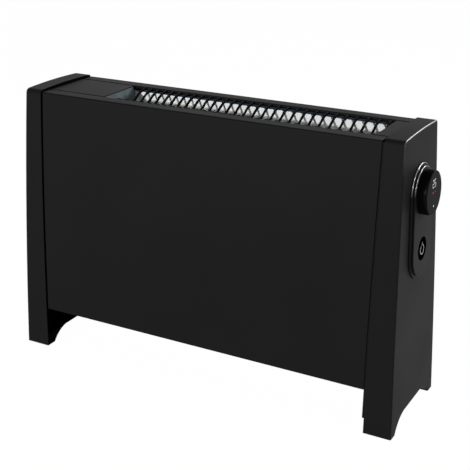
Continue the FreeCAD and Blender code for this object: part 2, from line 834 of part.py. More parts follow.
def heating_element():
    """A straight sheathed tube with a row of thin fins."""
    body = add_body("heating_element")
    tube_start = partition_left - s.element_overhang
    tube = add_sketch(body, "YZ_Plane", tube_start)
    draw_circle(tube, 0.0, s.element_height, s.element_tube_radius)
    pad(body, tube, chamber_end + s.sheet + s.element_overhang - tube_start)
    fin = add_sketch(body, "YZ_Plane", partition_right + s.fin_margin)
    draw(fin, rectangle(-s.fin_depth / 2, s.element_height - s.fin_height / 2,
                        s.fin_depth / 2, s.element_height + s.fin_height / 2))
    first = pad(body, fin, s.fin_thickness)
    fin_run = chamber_end - partition_right - 2 * s.fin_margin - s.fin_thickness
    repeat_along(body, first, "X_Axis", fin_run, s.fin_count)
    keep(body)


def element_bush(name, wall_face, way):
    """A ceramic bush that carries one end of the element, with its flange on a wall's outer side."""
    axis = ALONG_X * way
    foot = (wall_face, 0.0, s.element_height)
    flange = cylinder(f"{name}_flange", foot, axis, s.bush_flange_radius, s.bush_flange)
    back = wall_face - way * (s.bush_length - s.bush_flange)
    sleeve = cylinder(f"{name}_sleeve", (back, 0.0, s.element_height), axis, s.bush_radius, s.bush_length)
    bore = cylinder(f"{name}_bore", (back, 0.0, s.element_height), axis,
                    s.element_tube_radius + s.fixed_clearance, s.bush_length)
    return cut(name, fuse(f"{name}_round", [flange, sleeve]), bore)


def element_fittings():
    """The element's two bushes, and the thermal cut-out on the chamber's right end."""
    keep(group("element_bushes", [element_bush("left_bush", partition_left, -1),
                                  element_bush("right_bush", chamber_end + s.sheet, 1)]))
    half = s.cutout_size / 2
    base = box("cutout_base", (chamber_end - s.cutout_thickness / 2, -half, s.cutout_height - half),
               (chamber_end, half, s.cutout_height + half))
    can = cylinder("cutout_can", (chamber_end - s.cutout_thickness, 0.0, s.cutout_height), ALONG_X,
                   half - s.cutout_step, s.cutout_thickness / 2)
    keep(fuse("thermal_cutout", [base, can]))


# Blower

def blower_housing():
    """A drum with a flat outlet duct that blows through the partition, under the element."""
    half, wall = s.scroll_half_width, s.scroll_wall
    floor = s.blower_height - scroll_radius
    shell = fuse("scroll_outside", [
        cylinder("scroll_drum", (blower_x, -half, s.blower_height), ALONG_Y, scroll_radius, 2 * half),
        box("scroll_duct", (blower_x, -half, floor), (partition_left, half, floor + s.duct_height)),
    ])
    hollow = fuse("scroll_inside", [
        cylinder("scroll_room", (blower_x, wall - half, s.blower_height), ALONG_Y, scroll_radius - wall,
                 2 * (half - wall)),
        box("duct_room", (blower_x, wall - half, floor + wall),
            (partition_left, half - wall, floor + s.duct_height - wall)),
        cylinder("inlet", (blower_x, -half, s.blower_height), ALONG_Y,
                 wheel_radius - s.wheel_rim - s.inlet_lap, wall),
        cylinder("shaft_hole", (blower_x, half - wall, s.blower_height), ALONG_Y,
                 s.shaft_radius + s.shaft_hole_gap, wall),
    ])
    keep(cut("blower_housing", shell, hollow))


def add_ring(body, start, radius, hole, length):
    """Adds a flat ring round the body's Z axis, from a height upwards."""
    ring = add_sketch(body, "XY_Plane", start)
    draw_circle(ring, 0.0, 0.0, radius)
    draw_circle(ring, 0.0, 0.0, hole)
    pad(body, ring, length)


def blower_wheel():
    """The wheel: a back plate, a hub, curved blades and a front rim, drawn with its back plate down."""
    body = add_body("blower_wheel")
    bore = s.shaft_radius + s.running_clearance
    rim_hole, rim_start = wheel_radius - s.wheel_rim, wheel_width - s.wheel_plate
    blade_root, blade_tip = rim_hole + s.blade_setback, wheel_radius - s.blade_setback
    add_ring(body, 0.0, wheel_radius, bore, s.wheel_plate)
    add_ring(body, s.wheel_plate, s.wheel_hub_radius, bore, s.wheel_hub_length)
    blade = add_sketch(body, "XY_Plane", s.wheel_plate / 2)
    draw(blade, [(blade_root, 0.0, s.blade_curve, LEFT), (blade_tip, s.blade_sweep),
                 (blade_tip, s.blade_sweep + s.blade_thickness, s.blade_curve, RIGHT),
                 (blade_root, s.blade_thickness)])
    repeat_round(body, pad(body, blade, rim_start), "Z_Axis", s.blade_count)
    add_ring(body, rim_start, wheel_radius, rim_hole, s.wheel_plate)
    keep(body, Placement(Vector(blower_x, wheel_width / 2, s.blower_height), Rotation(ALONG_X, 90)))


def blower_drive():
    """The motor on the back of the housing, and the shaft that carries the wheel."""
    half = s.scroll_half_width
    case = fuse("motor_case", [
        cylinder("motor_can", (blower_x, half, s.blower_height), ALONG_Y, s.motor_radius,
                 motor_length - s.motor_end),
        cylinder("motor_cap", (blower_x, half, s.blower_height), ALONG_Y, s.motor_cap_radius, motor_length),
    ])
    bearing = cylinder("motor_bearing", (blower_x, half, s.blower_height), ALONG_Y,
                       s.shaft_radius + s.running_clearance, motor_length - s.motor_end)
    keep(cut("blower_motor", case, bearing))
    hub_end = wheel_width / 2 - s.wheel_plate - s.wheel_hub_length
    shaft_end = half + motor_length - s.motor_end - s.shaft_end_gap
    keep(cylinder("blower_shaft", (blower_x, hub_end, s.blower_height), ALONG_Y, s.shaft_radius,
                  shaft_end - hub_end))


# End caps

def end_cap(label, corner_behind, corner_before):
    """A cap with its feet: a bowed and arched slab with a leaning outer face, hollow from the inside.

    It is drawn as the right cap, with one top corner towards +Y and one towards -Y.
    """
    body = add_body(label)
    low, arch_top = s.pad_thickness, s.pad_thickness + s.arch_rise
    foot, foot_inner = depth_at(low, 0.0), s.foot_half_depth - s.foot_length
    drop = s.arch_radius - s.arch_rise
    arch_side = foot_inner - root(s.arch_radius * s.arch_radius - drop * drop)
    behind, (behind_y, behind_z), behind_crown = corner_behind
    before, (before_y, before_z), (crown_y, crown_edge) = corner_before
    outline = add_sketch(body, "YZ_Plane", s.seam_half_width)
    draw(outline, [
        (-foot, low), (-foot_inner, low, s.arch_radius, RIGHT), (-arch_side, arch_top),
        (arch_side, arch_top, s.arch_radius, RIGHT), (foot_inner, low), (foot, low, curve_radius, LEFT),
        (behind_y, behind_z, behind, LEFT), (*behind_crown, crown_radius, LEFT),
        (-crown_y, crown_edge, before, LEFT), (-before_y, before_z, curve_radius, LEFT),
    ])
    pad(body, outline, foot_half_width - s.seam_half_width)
    above = s.casing_height + 2 * (s.cap_rise + s.cap_crown)
    lean_cut = add_sketch(body, "XZ_Plane")
    beyond = foot_half_width + s.cap_wall
    draw(lean_cut, [(foot_half_width, 0.0), (beyond, 0.0), (beyond, above), (outside_at(above), above)])
    pocket(body, lean_cut, None, side="Symmetric")
    fillet(body, s.cap_edge_radius, is_on_outer_face)
    hollow = add_sketch(body, "YZ_Plane", foot_half_width - s.cap_wall, -lean_angle)
    floor, ceiling = arch_top + s.cap_wall, s.casing_height - s.cap_wall
    wide, narrow = depth_at(floor, s.cap_wall), depth_at(ceiling, s.cap_wall)
    radius = curve_radius - s.cap_wall
    draw(hollow, [(-wide, floor), (wide, floor, radius, LEFT), (narrow, ceiling),
                  (-narrow, ceiling, radius, LEFT)])
    pocket(body, hollow, None)
    add_bosses(body)
    return body


def is_on_outer_face(edge):
    """True for the edges round a cap's leaning outer face, apart from those on the floor."""
    points = [edge.valueAt(edge.FirstParameter + share * (edge.LastParameter - edge.FirstParameter))
              for share in (0, 0.5, 1)]
    on_face = all(abs(point.x - (foot_half_width - lean * point.z)) < TOUCHING for point in points)
    return on_face and max(point.z for point in points) > s.pad_thickness + TOUCHING


def add_bosses(body):
    """The screw bosses inside a cap, with their pilot holes."""
    pilots = add_sketch(body, "YZ_Plane", s.seam_half_width)
    for height in (upper_boss_height, s.lower_boss_height):
        bosses = add_sketch(body, "YZ_Plane", s.seam_half_width)
        for y, z in boss_places():
            if float(z) == float(height):
                draw_circle(bosses, y, z, s.boss_radius)
                draw_circle(pilots, y, z, s.screw_radius + s.fixed_clearance)
        pad(body, bosses, outside_at(height) - s.cap_wall / 2 - s.seam_half_width)
    pocket(body, pilots, s.screw_length, backwards=True)


def left_end_cap():
    """The plain left cap, which is the right cap's form turned half round, so its corners change places."""
    keep(end_cap("left_end_cap", front_corner, back_corner), HALF_TURN)


def right_end_cap():
    """The right cap, with holes for the dial's wires, the button's stem and the cable gland."""
    body = end_cap("right_end_cap", back_corner, front_corner)
    button_height = knob_height - s.button_drop
    openings = add_sketch(body, "YZ_Plane", foot_half_width, -lean_angle)
    draw_circle(openings, 0.0, face_height(knob_height), s.wire_hole_radius)
    draw_circle(openings, 0.0, face_height(button_height), s.stem_hole_radius)
    pocket(body, openings, 2 * s.cap_wall)
    posts = add_sketch(body, "YZ_Plane", foot_half_width - s.cap_wall, -lean_angle)
    for across in (-s.switch_post_spread, s.switch_post_spread):
        draw_circle(posts, across, face_height(button_height), s.post_radius)
    pad(body, posts, switch_board_top(), backwards=True)
    gland = add_sketch(body, "XZ_Plane", -s.foot_half_depth)
    draw_circle(gland, gland_x(), s.gland_height, s.gland_body_radius + s.fixed_clearance)
    pocket(body, gland, s.gland_length, backwards=True)
    keep(body)


def face_height(height):
    """Length along the leaning outer face, from the floor up to a height."""
    return height * root(1 + lean * lean)


def switch_board_top():
    """Depth of the switch board behind the cap's inner face."""
    return s.stem_reach + s.button_travel + s.switch_gap + s.switch_height


def gland_x():
    """Place of the cable gland across the right cap."""
    return s.seam_half_width + s.gland_setback


# Control module, drawn on the leaning face: Y across, up the face, and outwards

def module_place(rise=0.0):
    """The frame of the dial's axis on the cap's outer face, raised by an amount."""
    angle = math.radians(lean_angle)
    outwards = Vector(math.cos(angle), 0, math.sin(angle))
    upwards = Vector(-math.sin(angle), 0, math.cos(angle))
    foot = Vector(outside_at(knob_height), 0, knob_height)
    return Placement(foot + outwards * float(rise), Rotation(ALONG_Y, upwards, outwards, "ZXY"))


def module_plate(label, half_width, thickness, rise, button_hole):
    """One raised step of the module, with a rounded outer edge."""
    body = add_body(label)
    face = add_sketch(body, "XY_Plane")
    drop = s.module_drop
    draw(face, obround(half_width, drop))
    draw_circle(face, 0.0, 0.0, s.wire_hole_radius)
    draw_circle(face, 0.0, -s.button_drop, button_hole)
    pad(body, face, thickness)

    def on_rim(edge):
        """True for the outer edges of the plate's upper face."""
        points = [vertex.Point for vertex in edge.Vertexes]
        far = [math.hypot(point.x, point.y - min(0.0, max(-float(drop), point.y))) for point in points]
        return all(abs(point.z - thickness) < TOUCHING and abs(reach - half_width) < TOUCHING
                   for point, reach in zip(points, far))

    fillet(body, s.module_edge_radius, on_rim)
    keep(body, module_place(rise))


def module_plates():
    """The bezel on the cap and the control plate on the bezel."""
    module_plate("module_bezel", s.bezel_half_width, s.bezel_thickness, 0.0,
                 s.stem_radius + s.running_clearance)
    module_plate("control_plate", s.plate_half_width, s.plate_thickness, s.bezel_thickness,
                 s.button_radius + s.button_clearance)


def display():
    """The fixed drum in the dial, its lens, and the display board on posts in it."""
    drum = add_body("display_drum")
    room = s.drum_radius - s.drum_wall
    neck = s.wire_hole_radius - s.dial_clearance
    drum_top = s.dial_height - s.lens_thickness
    throat = neck - s.drum_wall
    bottom = -(module_top + s.cap_wall)
    revolve(drum, [(throat, bottom), (neck, bottom), (neck, 0.0), (s.drum_radius, 0.0),
                   (s.drum_radius, drum_top), (room, drum_top), (room, s.drum_wall), (throat, s.drum_wall)])
    posts = add_sketch(drum, "XY_Plane", s.drum_wall)
    for post in range(int(s.post_count)):
        angle = math.radians(90 + 360 * post / s.post_count)
        draw_circle(posts, s.post_circle * math.cos(angle), s.post_circle * math.sin(angle), s.post_radius)
    pad(drum, posts, s.display_board_height - s.drum_wall)
    keep(drum, module_place(module_top))
    lens = add_body("display_lens")
    disc = add_sketch(lens, "XY_Plane", drum_top)
    draw_circle(disc, 0.0, 0.0, lens_radius())
    pad(lens, disc, s.lens_thickness)
    keep(lens, module_place(module_top))
    board = add_body("display_board")
    round_board = add_sketch(board, "XY_Plane", s.display_board_height)
    draw_circle(round_board, 0.0, 0.0, s.display_board_radius)
    pad(board, round_board, s.board_thickness)
    digits = add_sketch(board, "XY_Plane", s.display_board_height + s.board_thickness)
    draw(digits, rectangle(-s.digit_block_width / 2, 0.0, s.digit_block_width / 2, s.digit_block_height))
    pad(board, digits, drum_top - s.display_board_height - s.board_thickness - s.dial_clearance)
    keep(board, module_place(module_top))


def lens_radius():
    """Radius of the lens, just inside the dial's rim."""
    return s.dial_radius - s.dial_rim - s.dial_clearance


def dial_ring():
    """The turning ring: a smooth wall with a thin rim round the lens and a seat that runs on the drum."""
    ring = add_body("dial_ring")
    gap = s.dial_clearance
    seat = s.drum_radius + gap
    rim = lens_radius() + gap
    edge = s.dial_radius - s.dial_edge_radius
    step = s.dial_height - s.lens_thickness - gap
    revolve(ring, [
        (seat, gap), (s.dial_radius, gap),
        (s.dial_radius, s.dial_height - s.dial_edge_radius, s.dial_edge_radius, LEFT),
        (edge, s.dial_height), (rim, s.dial_height), (rim, step), (seat, step),
    ])
    keep(ring, module_place(module_top))


def power_button():
    """The round push button, level with the control plate, and its guided stem."""
    button = add_body("power_button")
    underside = module_top - s.button_thickness
    stem_end = -(s.cap_wall + s.stem_reach)
    stem = add_sketch(button, "XY_Plane", stem_end)
    draw_circle(stem, 0.0, -s.button_drop, s.stem_radius)
    pad(button, stem, underside - stem_end)
    disc = add_sketch(button, "XY_Plane", underside)
    draw_circle(disc, 0.0, -s.button_drop, s.button_radius)
    pad(button, disc, s.button_thickness)
    keep(button, module_place())


def power_switch():
    """The push switch that the stem presses, on its small board behind the cap's wall."""
    back = -(s.cap_wall + switch_board_top())
    switch = add_body("power_switch")
    block = add_sketch(switch, "XY_Plane", back)
    half = s.switch_size / 2
    draw(block, rectangle(-half, -s.button_drop - half, half, half - s.button_drop))
    pad(switch, block, s.switch_height)
    keep(switch, module_place())
    board = add_body("switch_board")
    plate = add_sketch(board, "XY_Plane", back - s.board_thickness)
    half = s.switch_board_size / 2
    draw(plate, rectangle(-half, -s.button_drop - half, half, half - s.button_drop))
    pad(board, plate, s.board_thickness)
    keep(board, module_place())


# Electronics in the right cap

def power_electronics():
    """The power board on its standoffs, with the relays, terminal block and tilt switch on it."""
    wide, low, high = s.board_half_width, s.board_low, s.board_high
    back = s.seam_half_width + s.standoff_length
    front = back + s.board_thickness
    keep(box("power_board", (back, -wide, low), (front, wide, high)))
    reach = wide - s.standoff_margin
    corners = [(s.seam_half_width, y, z) for y in (-reach, reach)
               for z in (low + 2 * s.standoff_margin, high - s.standoff_margin)]
    keep(group("board_standoffs", [
        cylinder(f"standoff_{index}", corner, ALONG_X, s.standoff_radius, s.standoff_length)
        for index, corner in enumerate(corners)]))
    relay_z = (low + high) / 2
    relay_low = [-s.relay_width - s.relay_gap / 2, s.relay_gap / 2]
    keep(group("relays", [
        box(f"relay_{index}", (front, y, relay_z), (front + s.relay_depth, y + s.relay_width,
                                                    relay_z + s.relay_height))
        for index, y in enumerate(relay_low)]))
    terminal_z = low + s.standoff_margin
    keep(box("terminal_block", (front, -s.terminal_width / 2, terminal_z),
             (front + s.terminal_depth, s.terminal_width / 2, terminal_z + s.terminal_height)))
    tilt_y = -reach + s.standoff_margin
    keep(box("tilt_switch", (front, tilt_y, relay_z - s.tilt_switch_size - s.relay_gap),
             (front + s.tilt_switch_size, tilt_y + s.tilt_switch_size, relay_z - s.relay_gap)))


def wiring_loom():
    """The sleeved wires from the power board, along the floor of the casing and up to the blower's motor."""
    start = Vector(s.seam_half_width + s.standoff_length - s.loom_clearance, motor_middle, loom_height)
    corner = Vector(blower_x, motor_middle, loom_height)
    end = Vector(blower_x, motor_middle, s.blower_height - s.motor_radius - s.loom_clearance)
    bend_start, bend_end = corner + ALONG_X * float(s.loom_bend), corner + ALONG_Z * float(s.loom_bend)
    diagonal = float(s.loom_bend) * (1 - math.sqrt(0.5))
    bend_middle = corner + Vector(diagonal, 0, diagonal)
    path = Part.Wire([
        Part.LineSegment(start, bend_start).toShape(), Part.Arc(bend_start, bend_middle, bend_end).toShape(),
        Part.LineSegment(bend_end, end).toShape(),
    ])
    ring = Part.Wire(Part.makeCircle(s.loom_radius, start, -ALONG_X))
    loom = doc.addObject("Part::Feature", "wiring_loom")
    loom.Shape = path.makePipeShell([ring], True, False)
    keep(loom)


def cable_gland():
    """The round gland in the right cap's back wall, with a bore for a mains lead."""
    outside = depth_at(s.gland_height - s.gland_flange_radius, 0.0)
    back = outside + s.gland_flange
    foot = (gland_x(), back - s.gland_length, s.gland_height)
    collar = cylinder("gland_collar", (gland_x(), outside, s.gland_height), ALONG_Y, s.gland_flange_radius,
                      s.gland_flange)
    sleeve = cylinder("gland_sleeve", foot, ALONG_Y, s.gland_body_radius, s.gland_length)
    bore = cylinder("gland_bore", foot, ALONG_Y, s.gland_bore_radius, s.gland_length)
    keep(cut("cable_gland", fuse("gland_round", [collar, sleeve]), bore))


# Feet and screws

def foot_pads():
    """Thin pads under the four feet."""
    near, far = s.foot_half_depth - s.foot_length + s.pad_margin, s.foot_half_depth - s.pad_margin
    inner, outer = s.seam_half_width + s.pad_margin, foot_half_width - s.pad_margin
    pads = []
    for index, (x_low, x_high, y_low, y_high) in enumerate((
            (inner, outer, near, far), (inner, outer, -far, -near),
            (-outer, -inner, near, far), (-outer, -inner, -far, -near))):
        pads.append(box(f"pad_{index}", (x_low, y_low, 0.0), (x_high, y_high, s.pad_thickness)))
    keep(group("foot_pads", pads))


def screw(name, seat, axis, length):
    """A pan-head screw whose head lies on a seat and whose shank runs along an axis."""
    head_start = tuple(point - step * s.screw_head for point, step in zip(seat, axis))
    head = cylinder(f"{name}_head", head_start, axis, s.screw_head_radius, s.screw_head)
    shank = cylinder(f"{name}_shank", seat, axis, s.screw_radius, length)
    return fuse(name, [head, shank])


def screws():
    """The screws that hold the caps to their end plates and the floor sheet to the panels."""
    for side, way in (("left", -1), ("right", 1)):
        keep(group(f"cap_screws_{side}", [
            screw(f"{side}_cap_screw_{index}", (way * casing_half_width, y, z), ALONG_X * way,
                  s.screw_length)
            for index, (y, z) in enumerate(boss_places())]))
    floor_places = [(x, y) for x in (-floor_screw_spread, 0.0, floor_screw_spread)
                    for y in (-floor_screw_y(), floor_screw_y())]
    keep(group("bottom_screws", [
        screw(f"bottom_screw_{index}", (x, y, s.panel_bottom), ALONG_Z, s.floor_screw_length)
        for index, (x, y) in enumerate(floor_places)]))


# The heater

keep(sheet_panel("front_panel", front_lip_edge), HALF_TURN)
back_panel()
end_plate("left_end_plate", LEFT)
end_plate("right_end_plate", RIGHT)
top_plates()
cross_walls()
heat_shield("rear_heat_shield", shield_left, chamber_end, Placement())
heat_shield("front_heat_shield", -chamber_end, -shield_left, HALF_TURN)
bottom_grille()
outlet_grille()
heating_element()
element_fittings()
blower_housing()
blower_wheel()
blower_drive()
left_end_cap()
right_end_cap()
module_plates()
display()
dial_ring()
power_button()
power_switch()
power_electronics()
wiring_loom()
cable_gland()
foot_pads()
screws()
doc.recompute()

# The outer box runs from the left foot to the dial's lens, and its middle is the origin.
dial_face = module_place(module_top + s.dial_height).Base.x
centring = Placement(Vector((float(foot_half_width) - dial_face) / 2, 0, 0), Rotation())
for part, placement in parts:
    for path, _ in list(part.ExpressionEngine):
        if "Placement" in path:
            part.setExpression(path, None)
    part.Placement = centring * placement * part.Placement
doc.recompute()

for thing in doc.Objects:
    if {"Invalid", "Error"} & set(thing.State):
        raise RuntimeError(f"{thing.Label} failed: {thing.State}")
for part, _ in parts:
    if part.Shape.isNull() or not part.Shape.isValid() or not part.Shape.Solids:
        raise RuntimeError(f"{part.Label} has no valid solid")

os.makedirs("parts", exist_ok=True)
for part, _ in parts:
    part.Shape.exportStep(f"parts/{part.Label}.step")
    print(part.Label, len(part.Shape.Solids), round(part.Shape.Volume, 1))
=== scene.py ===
"""Finish, printed marks and studio of a black convector heater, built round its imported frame.

Lengths are in metres, in the frame's own axes: X along the width towards the controls, Y from the front to
the back and Z up.
"""

import json
import logging
import math
from dataclasses import dataclass, field
from enum import Enum
from typing import Union

import bpy
import numpy as np
from mathutils import Euler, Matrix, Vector

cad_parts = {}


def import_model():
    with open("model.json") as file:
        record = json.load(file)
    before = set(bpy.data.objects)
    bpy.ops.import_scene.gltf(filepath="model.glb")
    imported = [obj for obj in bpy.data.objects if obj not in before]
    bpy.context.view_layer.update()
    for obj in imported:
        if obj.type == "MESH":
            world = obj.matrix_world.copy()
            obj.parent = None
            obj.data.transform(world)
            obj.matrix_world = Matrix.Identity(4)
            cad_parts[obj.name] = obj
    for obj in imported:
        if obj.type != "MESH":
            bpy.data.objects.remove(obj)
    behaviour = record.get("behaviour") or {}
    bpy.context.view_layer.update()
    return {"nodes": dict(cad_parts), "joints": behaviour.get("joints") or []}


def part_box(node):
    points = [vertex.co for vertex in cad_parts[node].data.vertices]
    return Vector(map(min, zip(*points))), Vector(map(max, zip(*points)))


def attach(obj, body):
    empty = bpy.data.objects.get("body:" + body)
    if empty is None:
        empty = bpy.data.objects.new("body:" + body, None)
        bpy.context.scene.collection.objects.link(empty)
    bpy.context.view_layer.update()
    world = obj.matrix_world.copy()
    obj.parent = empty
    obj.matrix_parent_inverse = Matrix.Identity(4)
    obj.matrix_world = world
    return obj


LOG = logging.getLogger("heater")
MM = 0.001
SENSOR_WIDTH = 36.0

# Patterns of the shared effects: cells to the metre, and how far a crystal's edge bends
DUST_PATCHES = 45.0
CRYSTAL_BENDS = 90.0
CRYSTAL_BEND = (0.012, 0.012, 0.012)
FEATHERING = 420.0
DRAWN_LINES = (12.0, 900.0, 900.0)

Colour = tuple[float, float, float]
Place = tuple[float, float, float]
Value = Union[float, tuple, bpy.types.NodeSocket]


class Body(Enum):
    """The bodies of the frame that new pieces ride on."""

    HEATER = "heater"
    BUTTON = "button"


# Node trees


class Graph:
    """Adds nodes to a tree and links them wherever a socket is given as an input."""

    def __init__(self, tree: bpy.types.NodeTree) -> None:
        """Keeps the tree that the nodes go into."""
        self.tree = tree

    def add(self, kind: str, inputs: dict[Union[str, int], Value], **settings: object) -> bpy.types.Node:
        """Adds one node.

        Args:
            kind: Blender's name of the node's type.
            inputs: Values or sockets by input name or number.
            settings: The node's own properties.

        Returns:
            The new node.
        """
        node = self.tree.nodes.new(kind)
        for name, setting in settings.items():
            setattr(node, name, setting)
        for key, value in inputs.items():
            if isinstance(value, bpy.types.NodeSocket):
                self.tree.links.new(value, node.inputs[key])
            else:
                node.inputs[key].default_value = value
        return node

    def maths(self, operation: str, first: Value, second: Value = 0.0) -> bpy.types.NodeSocket:
        """Result of one Math node, clamped to the range from 0 to 1."""
        terms = {0: first, 1: second}
        return self.add("ShaderNodeMath", terms, operation=operation, use_clamp=True).outputs[0]

    def ramp(self, value: Value, start: Value, end: Value, low: float, high: float) -> bpy.types.NodeSocket:
        """A value moved from the range start..end to the range low..high, held at its ends."""
        ends = {"Value": value, "From Min": start, "From Max": end, "To Min": low, "To Max": high}
        return self.add("ShaderNodeMapRange", ends).outputs[0]

    def blend(self, share: Value, first: Value, second: Value) -> bpy.types.NodeSocket:
        """A colour between two colours, by a share of the second."""
        return self.add("ShaderNodeMix", {0: share, 6: first, 7: second}, data_type="RGBA").outputs[2]

    def noise(self, place: Value, scale: Value, detail: float) -> bpy.types.NodeSocket:
        """Soft cloudy noise from 0 to 1, with a number of cells to the metre."""
        settings = {"Vector": place, "Scale": scale, "Detail": detail}
        return self.add("ShaderNodeTexNoise", settings).outputs["Fac"]


class SharedEffects:
    """Shader groups that several finishes use, each built once."""

    def __init__(self) -> None:
        """Builds the groups."""
        self.grain = self._grain()
        self.edges = self._edges()
        self.rolls = self._rolls()
        self.fold_shade_group = self._fold_shade_group()
        self.dust = self._dust()
        self.spangle = self._spangle()
        self.brushing = self._brushing()

    @staticmethod
    def _start(name: str, inputs: dict[str, str],
               outputs: dict[str, str]) -> tuple[Graph, dict, bpy.types.Node]:
        """Starts a group with named sockets.

        Args:
            name: The group's name.
            inputs: Socket kinds by input name.
            outputs: Socket kinds by output name.

        Returns:
            The group's graph, its input sockets by name, and its output node.
        """
        tree = bpy.data.node_groups.new(name, "ShaderNodeTree")
        for direction, sockets in (("INPUT", inputs), ("OUTPUT", outputs)):
            for label, kind in sockets.items():
                tree.interface.new_socket(label, in_out=direction, socket_type=f"NodeSocket{kind}")
        graph = Graph(tree)
        given = graph.add("NodeGroupInput", {})
        return graph, {label: given.outputs[label] for label in inputs}, graph.add("NodeGroupOutput", {})

    def _grain(self) -> bpy.types.NodeTree:
        """Fine surface grain, and a slow mottle that shifts its tone."""
        graph, given, result = self._start(
            "surface_grain", {"Place": "Vector", "Fine": "Float", "Slow": "Float"},
            {"Grain": "Float", "Mottle": "Float"})
        graph.tree.links.new(graph.noise(given["Place"], given["Fine"], 2.0), result.inputs["Grain"])
        graph.tree.links.new(graph.noise(given["Place"], given["Slow"], 3.0), result.inputs["Mottle"])
        return graph.tree

    def _edges(self) -> bpy.types.NodeTree:
        """Edges rounded by a radius, and a mask that is 1 on them."""
        graph, given, result = self._start(
            "rounded_edges", {"Radius": "Float"}, {"Normal": "Vector", "Edge": "Float"})
        rounded = graph.add("ShaderNodeBevel", {"Radius": given["Radius"]}, samples=6).outputs[0]
        flat = graph.add("ShaderNodeNewGeometry", {}).outputs["Normal"]
        facing = graph.add("ShaderNodeVectorMath", {0: rounded, 1: flat}, operation="DOT_PRODUCT")
        graph.tree.links.new(rounded, result.inputs["Normal"])
        graph.tree.links.new(graph.ramp(facing.outputs["Value"], 0.995, 0.9, 0.0, 1.0), result.inputs["Edge"])
        return graph.tree

    def _rolls(self) -> bpy.types.NodeTree:
        """A mask for polished edges that roll over from a face across X, growing between two heights.

        It is sin 2a for the normal's angle a from X.
        """
        graph, given, result = self._start(
            "rolled_edges", {"Place": "Vector", "Start": "Float", "Low": "Float", "High": "Float"},
            {"Roll": "Float"})
        normal = graph.add("ShaderNodeNewGeometry", {}).outputs["Normal"]
        across = graph.maths("ABSOLUTE", graph.add("ShaderNodeSeparateXYZ", {0: normal}).outputs["X"])
        along = graph.maths("SQRT", graph.maths("SUBTRACT", 1.0, graph.maths("MULTIPLY", across, across)))
        turned = graph.maths("MULTIPLY", graph.maths("MULTIPLY", across, along), 2.0)
        risen = graph.ramp(turned, given["Start"], 0.9, 0.0, 1.0)
        height = graph.add("ShaderNodeSeparateXYZ", {0: given["Place"]}).outputs["Z"]
        polished = graph.ramp(height, given["Low"], given["High"], 0.0, 1.0)
        graph.tree.links.new(graph.maths("MULTIPLY", risen, polished), result.inputs["Roll"])
        return graph.tree

    def _fold_shade_group(self) -> bpy.types.NodeTree:
        """A mask for the bends between the front and the top, which the finishes darken as painted shade."""
        graph, _, result = self._start("painted_fold_shade", {}, {"PaintedFoldShade": "Float"})
        normal = graph.add("ShaderNodeNewGeometry", {}).outputs["Normal"]
        parts = graph.add("ShaderNodeSeparateXYZ", {0: normal}).outputs
        above = graph.ramp(parts["Z"], 0.10, 0.25, 0.0, 1.0)
        below = graph.ramp(parts["Z"], 0.97, 0.88, 0.0, 1.0)
        front = graph.ramp(parts["Y"], -0.1, -0.25, 0.0, 1.0)
        bent = graph.maths("MULTIPLY", graph.maths("MULTIPLY", above, below), front)
        graph.tree.links.new(bent, result.inputs["PaintedFoldShade"])
        return graph.tree

    def _dust(self) -> bpy.types.NodeTree:
        """A thin film of dust that lies in patches on what faces up."""
        graph, given, result = self._start(
            "settled_dust", {"Place": "Vector", "Amount": "Float"}, {"Dust": "Float"})
        normal = graph.add("ShaderNodeNewGeometry", {}).outputs["Normal"]
        upward = graph.add("ShaderNodeSeparateXYZ", {0: normal}).outputs["Z"]
        lying = graph.ramp(upward, 0.6, 1.0, 0.0, 1.0)
        patches = graph.ramp(graph.noise(given["Place"], DUST_PATCHES, 4.0), 0.4, 0.75, 0.3, 1.0)
        covered = graph.maths("MULTIPLY", graph.maths("MULTIPLY", lying, patches), given["Amount"])
        graph.tree.links.new(covered, result.inputs["Dust"])
        return graph.tree

    def _spangle(self) -> bpy.types.NodeTree:
        """The crystal flowers of hot-dip zinc: a tone for each crystal, and fine feathering in it."""
        graph, given, result = self._start(
            "zinc_spangle", {"Place": "Vector", "Scale": "Float"}, {"Tone": "Float", "Feather": "Float"})
        bends = {"Vector": given["Place"], "Scale": CRYSTAL_BENDS}
        bent = graph.add("ShaderNodeTexNoise", bends).outputs["Color"]
        moved = graph.add("ShaderNodeVectorMath", {0: bent, 1: CRYSTAL_BEND, 2: given["Place"]},
                          operation="MULTIPLY_ADD").outputs[0]
        crystal = graph.add("ShaderNodeTexVoronoi", {"Vector": moved, "Scale": given["Scale"]})
        tone = graph.add("ShaderNodeSeparateColor", {0: crystal.outputs["Color"]}).outputs[0]
        graph.tree.links.new(tone, result.inputs["Tone"])
        graph.tree.links.new(graph.noise(given["Place"], FEATHERING, 5.0), result.inputs["Feather"])
        return graph.tree

    def _brushing(self) -> bpy.types.NodeTree:
        """Fine drawn lines along X."""
        graph, given, result = self._start("drawn_lines", {"Place": "Vector"}, {"Line": "Float"})
        stretched = graph.add("ShaderNodeMapping", {"Vector": given["Place"], "Scale": DRAWN_LINES})
        graph.tree.links.new(graph.noise(stretched.outputs[0], 1.0, 3.0), result.inputs["Line"])
        return graph.tree

    @staticmethod
    def use(graph: Graph, group: bpy.types.NodeTree, inputs: dict[str, Value]) -> bpy.types.NodeOutputs:
        """Places a group in a material.

        Args:
            graph: The material's graph.
            group: The group to place.
            inputs: Values or sockets by the group's input names.

        Returns:
            The placed group's outputs.
        """
        return graph.add("ShaderNodeGroup", inputs, node_tree=group).outputs


# Finishes


def shade(colour: Colour, factor: float) -> tuple[float, float, float, float]:
    """A colour made lighter or darker by a factor, with full opacity."""
    return (*(min(1.0, part * factor) for part in colour), 1.0)


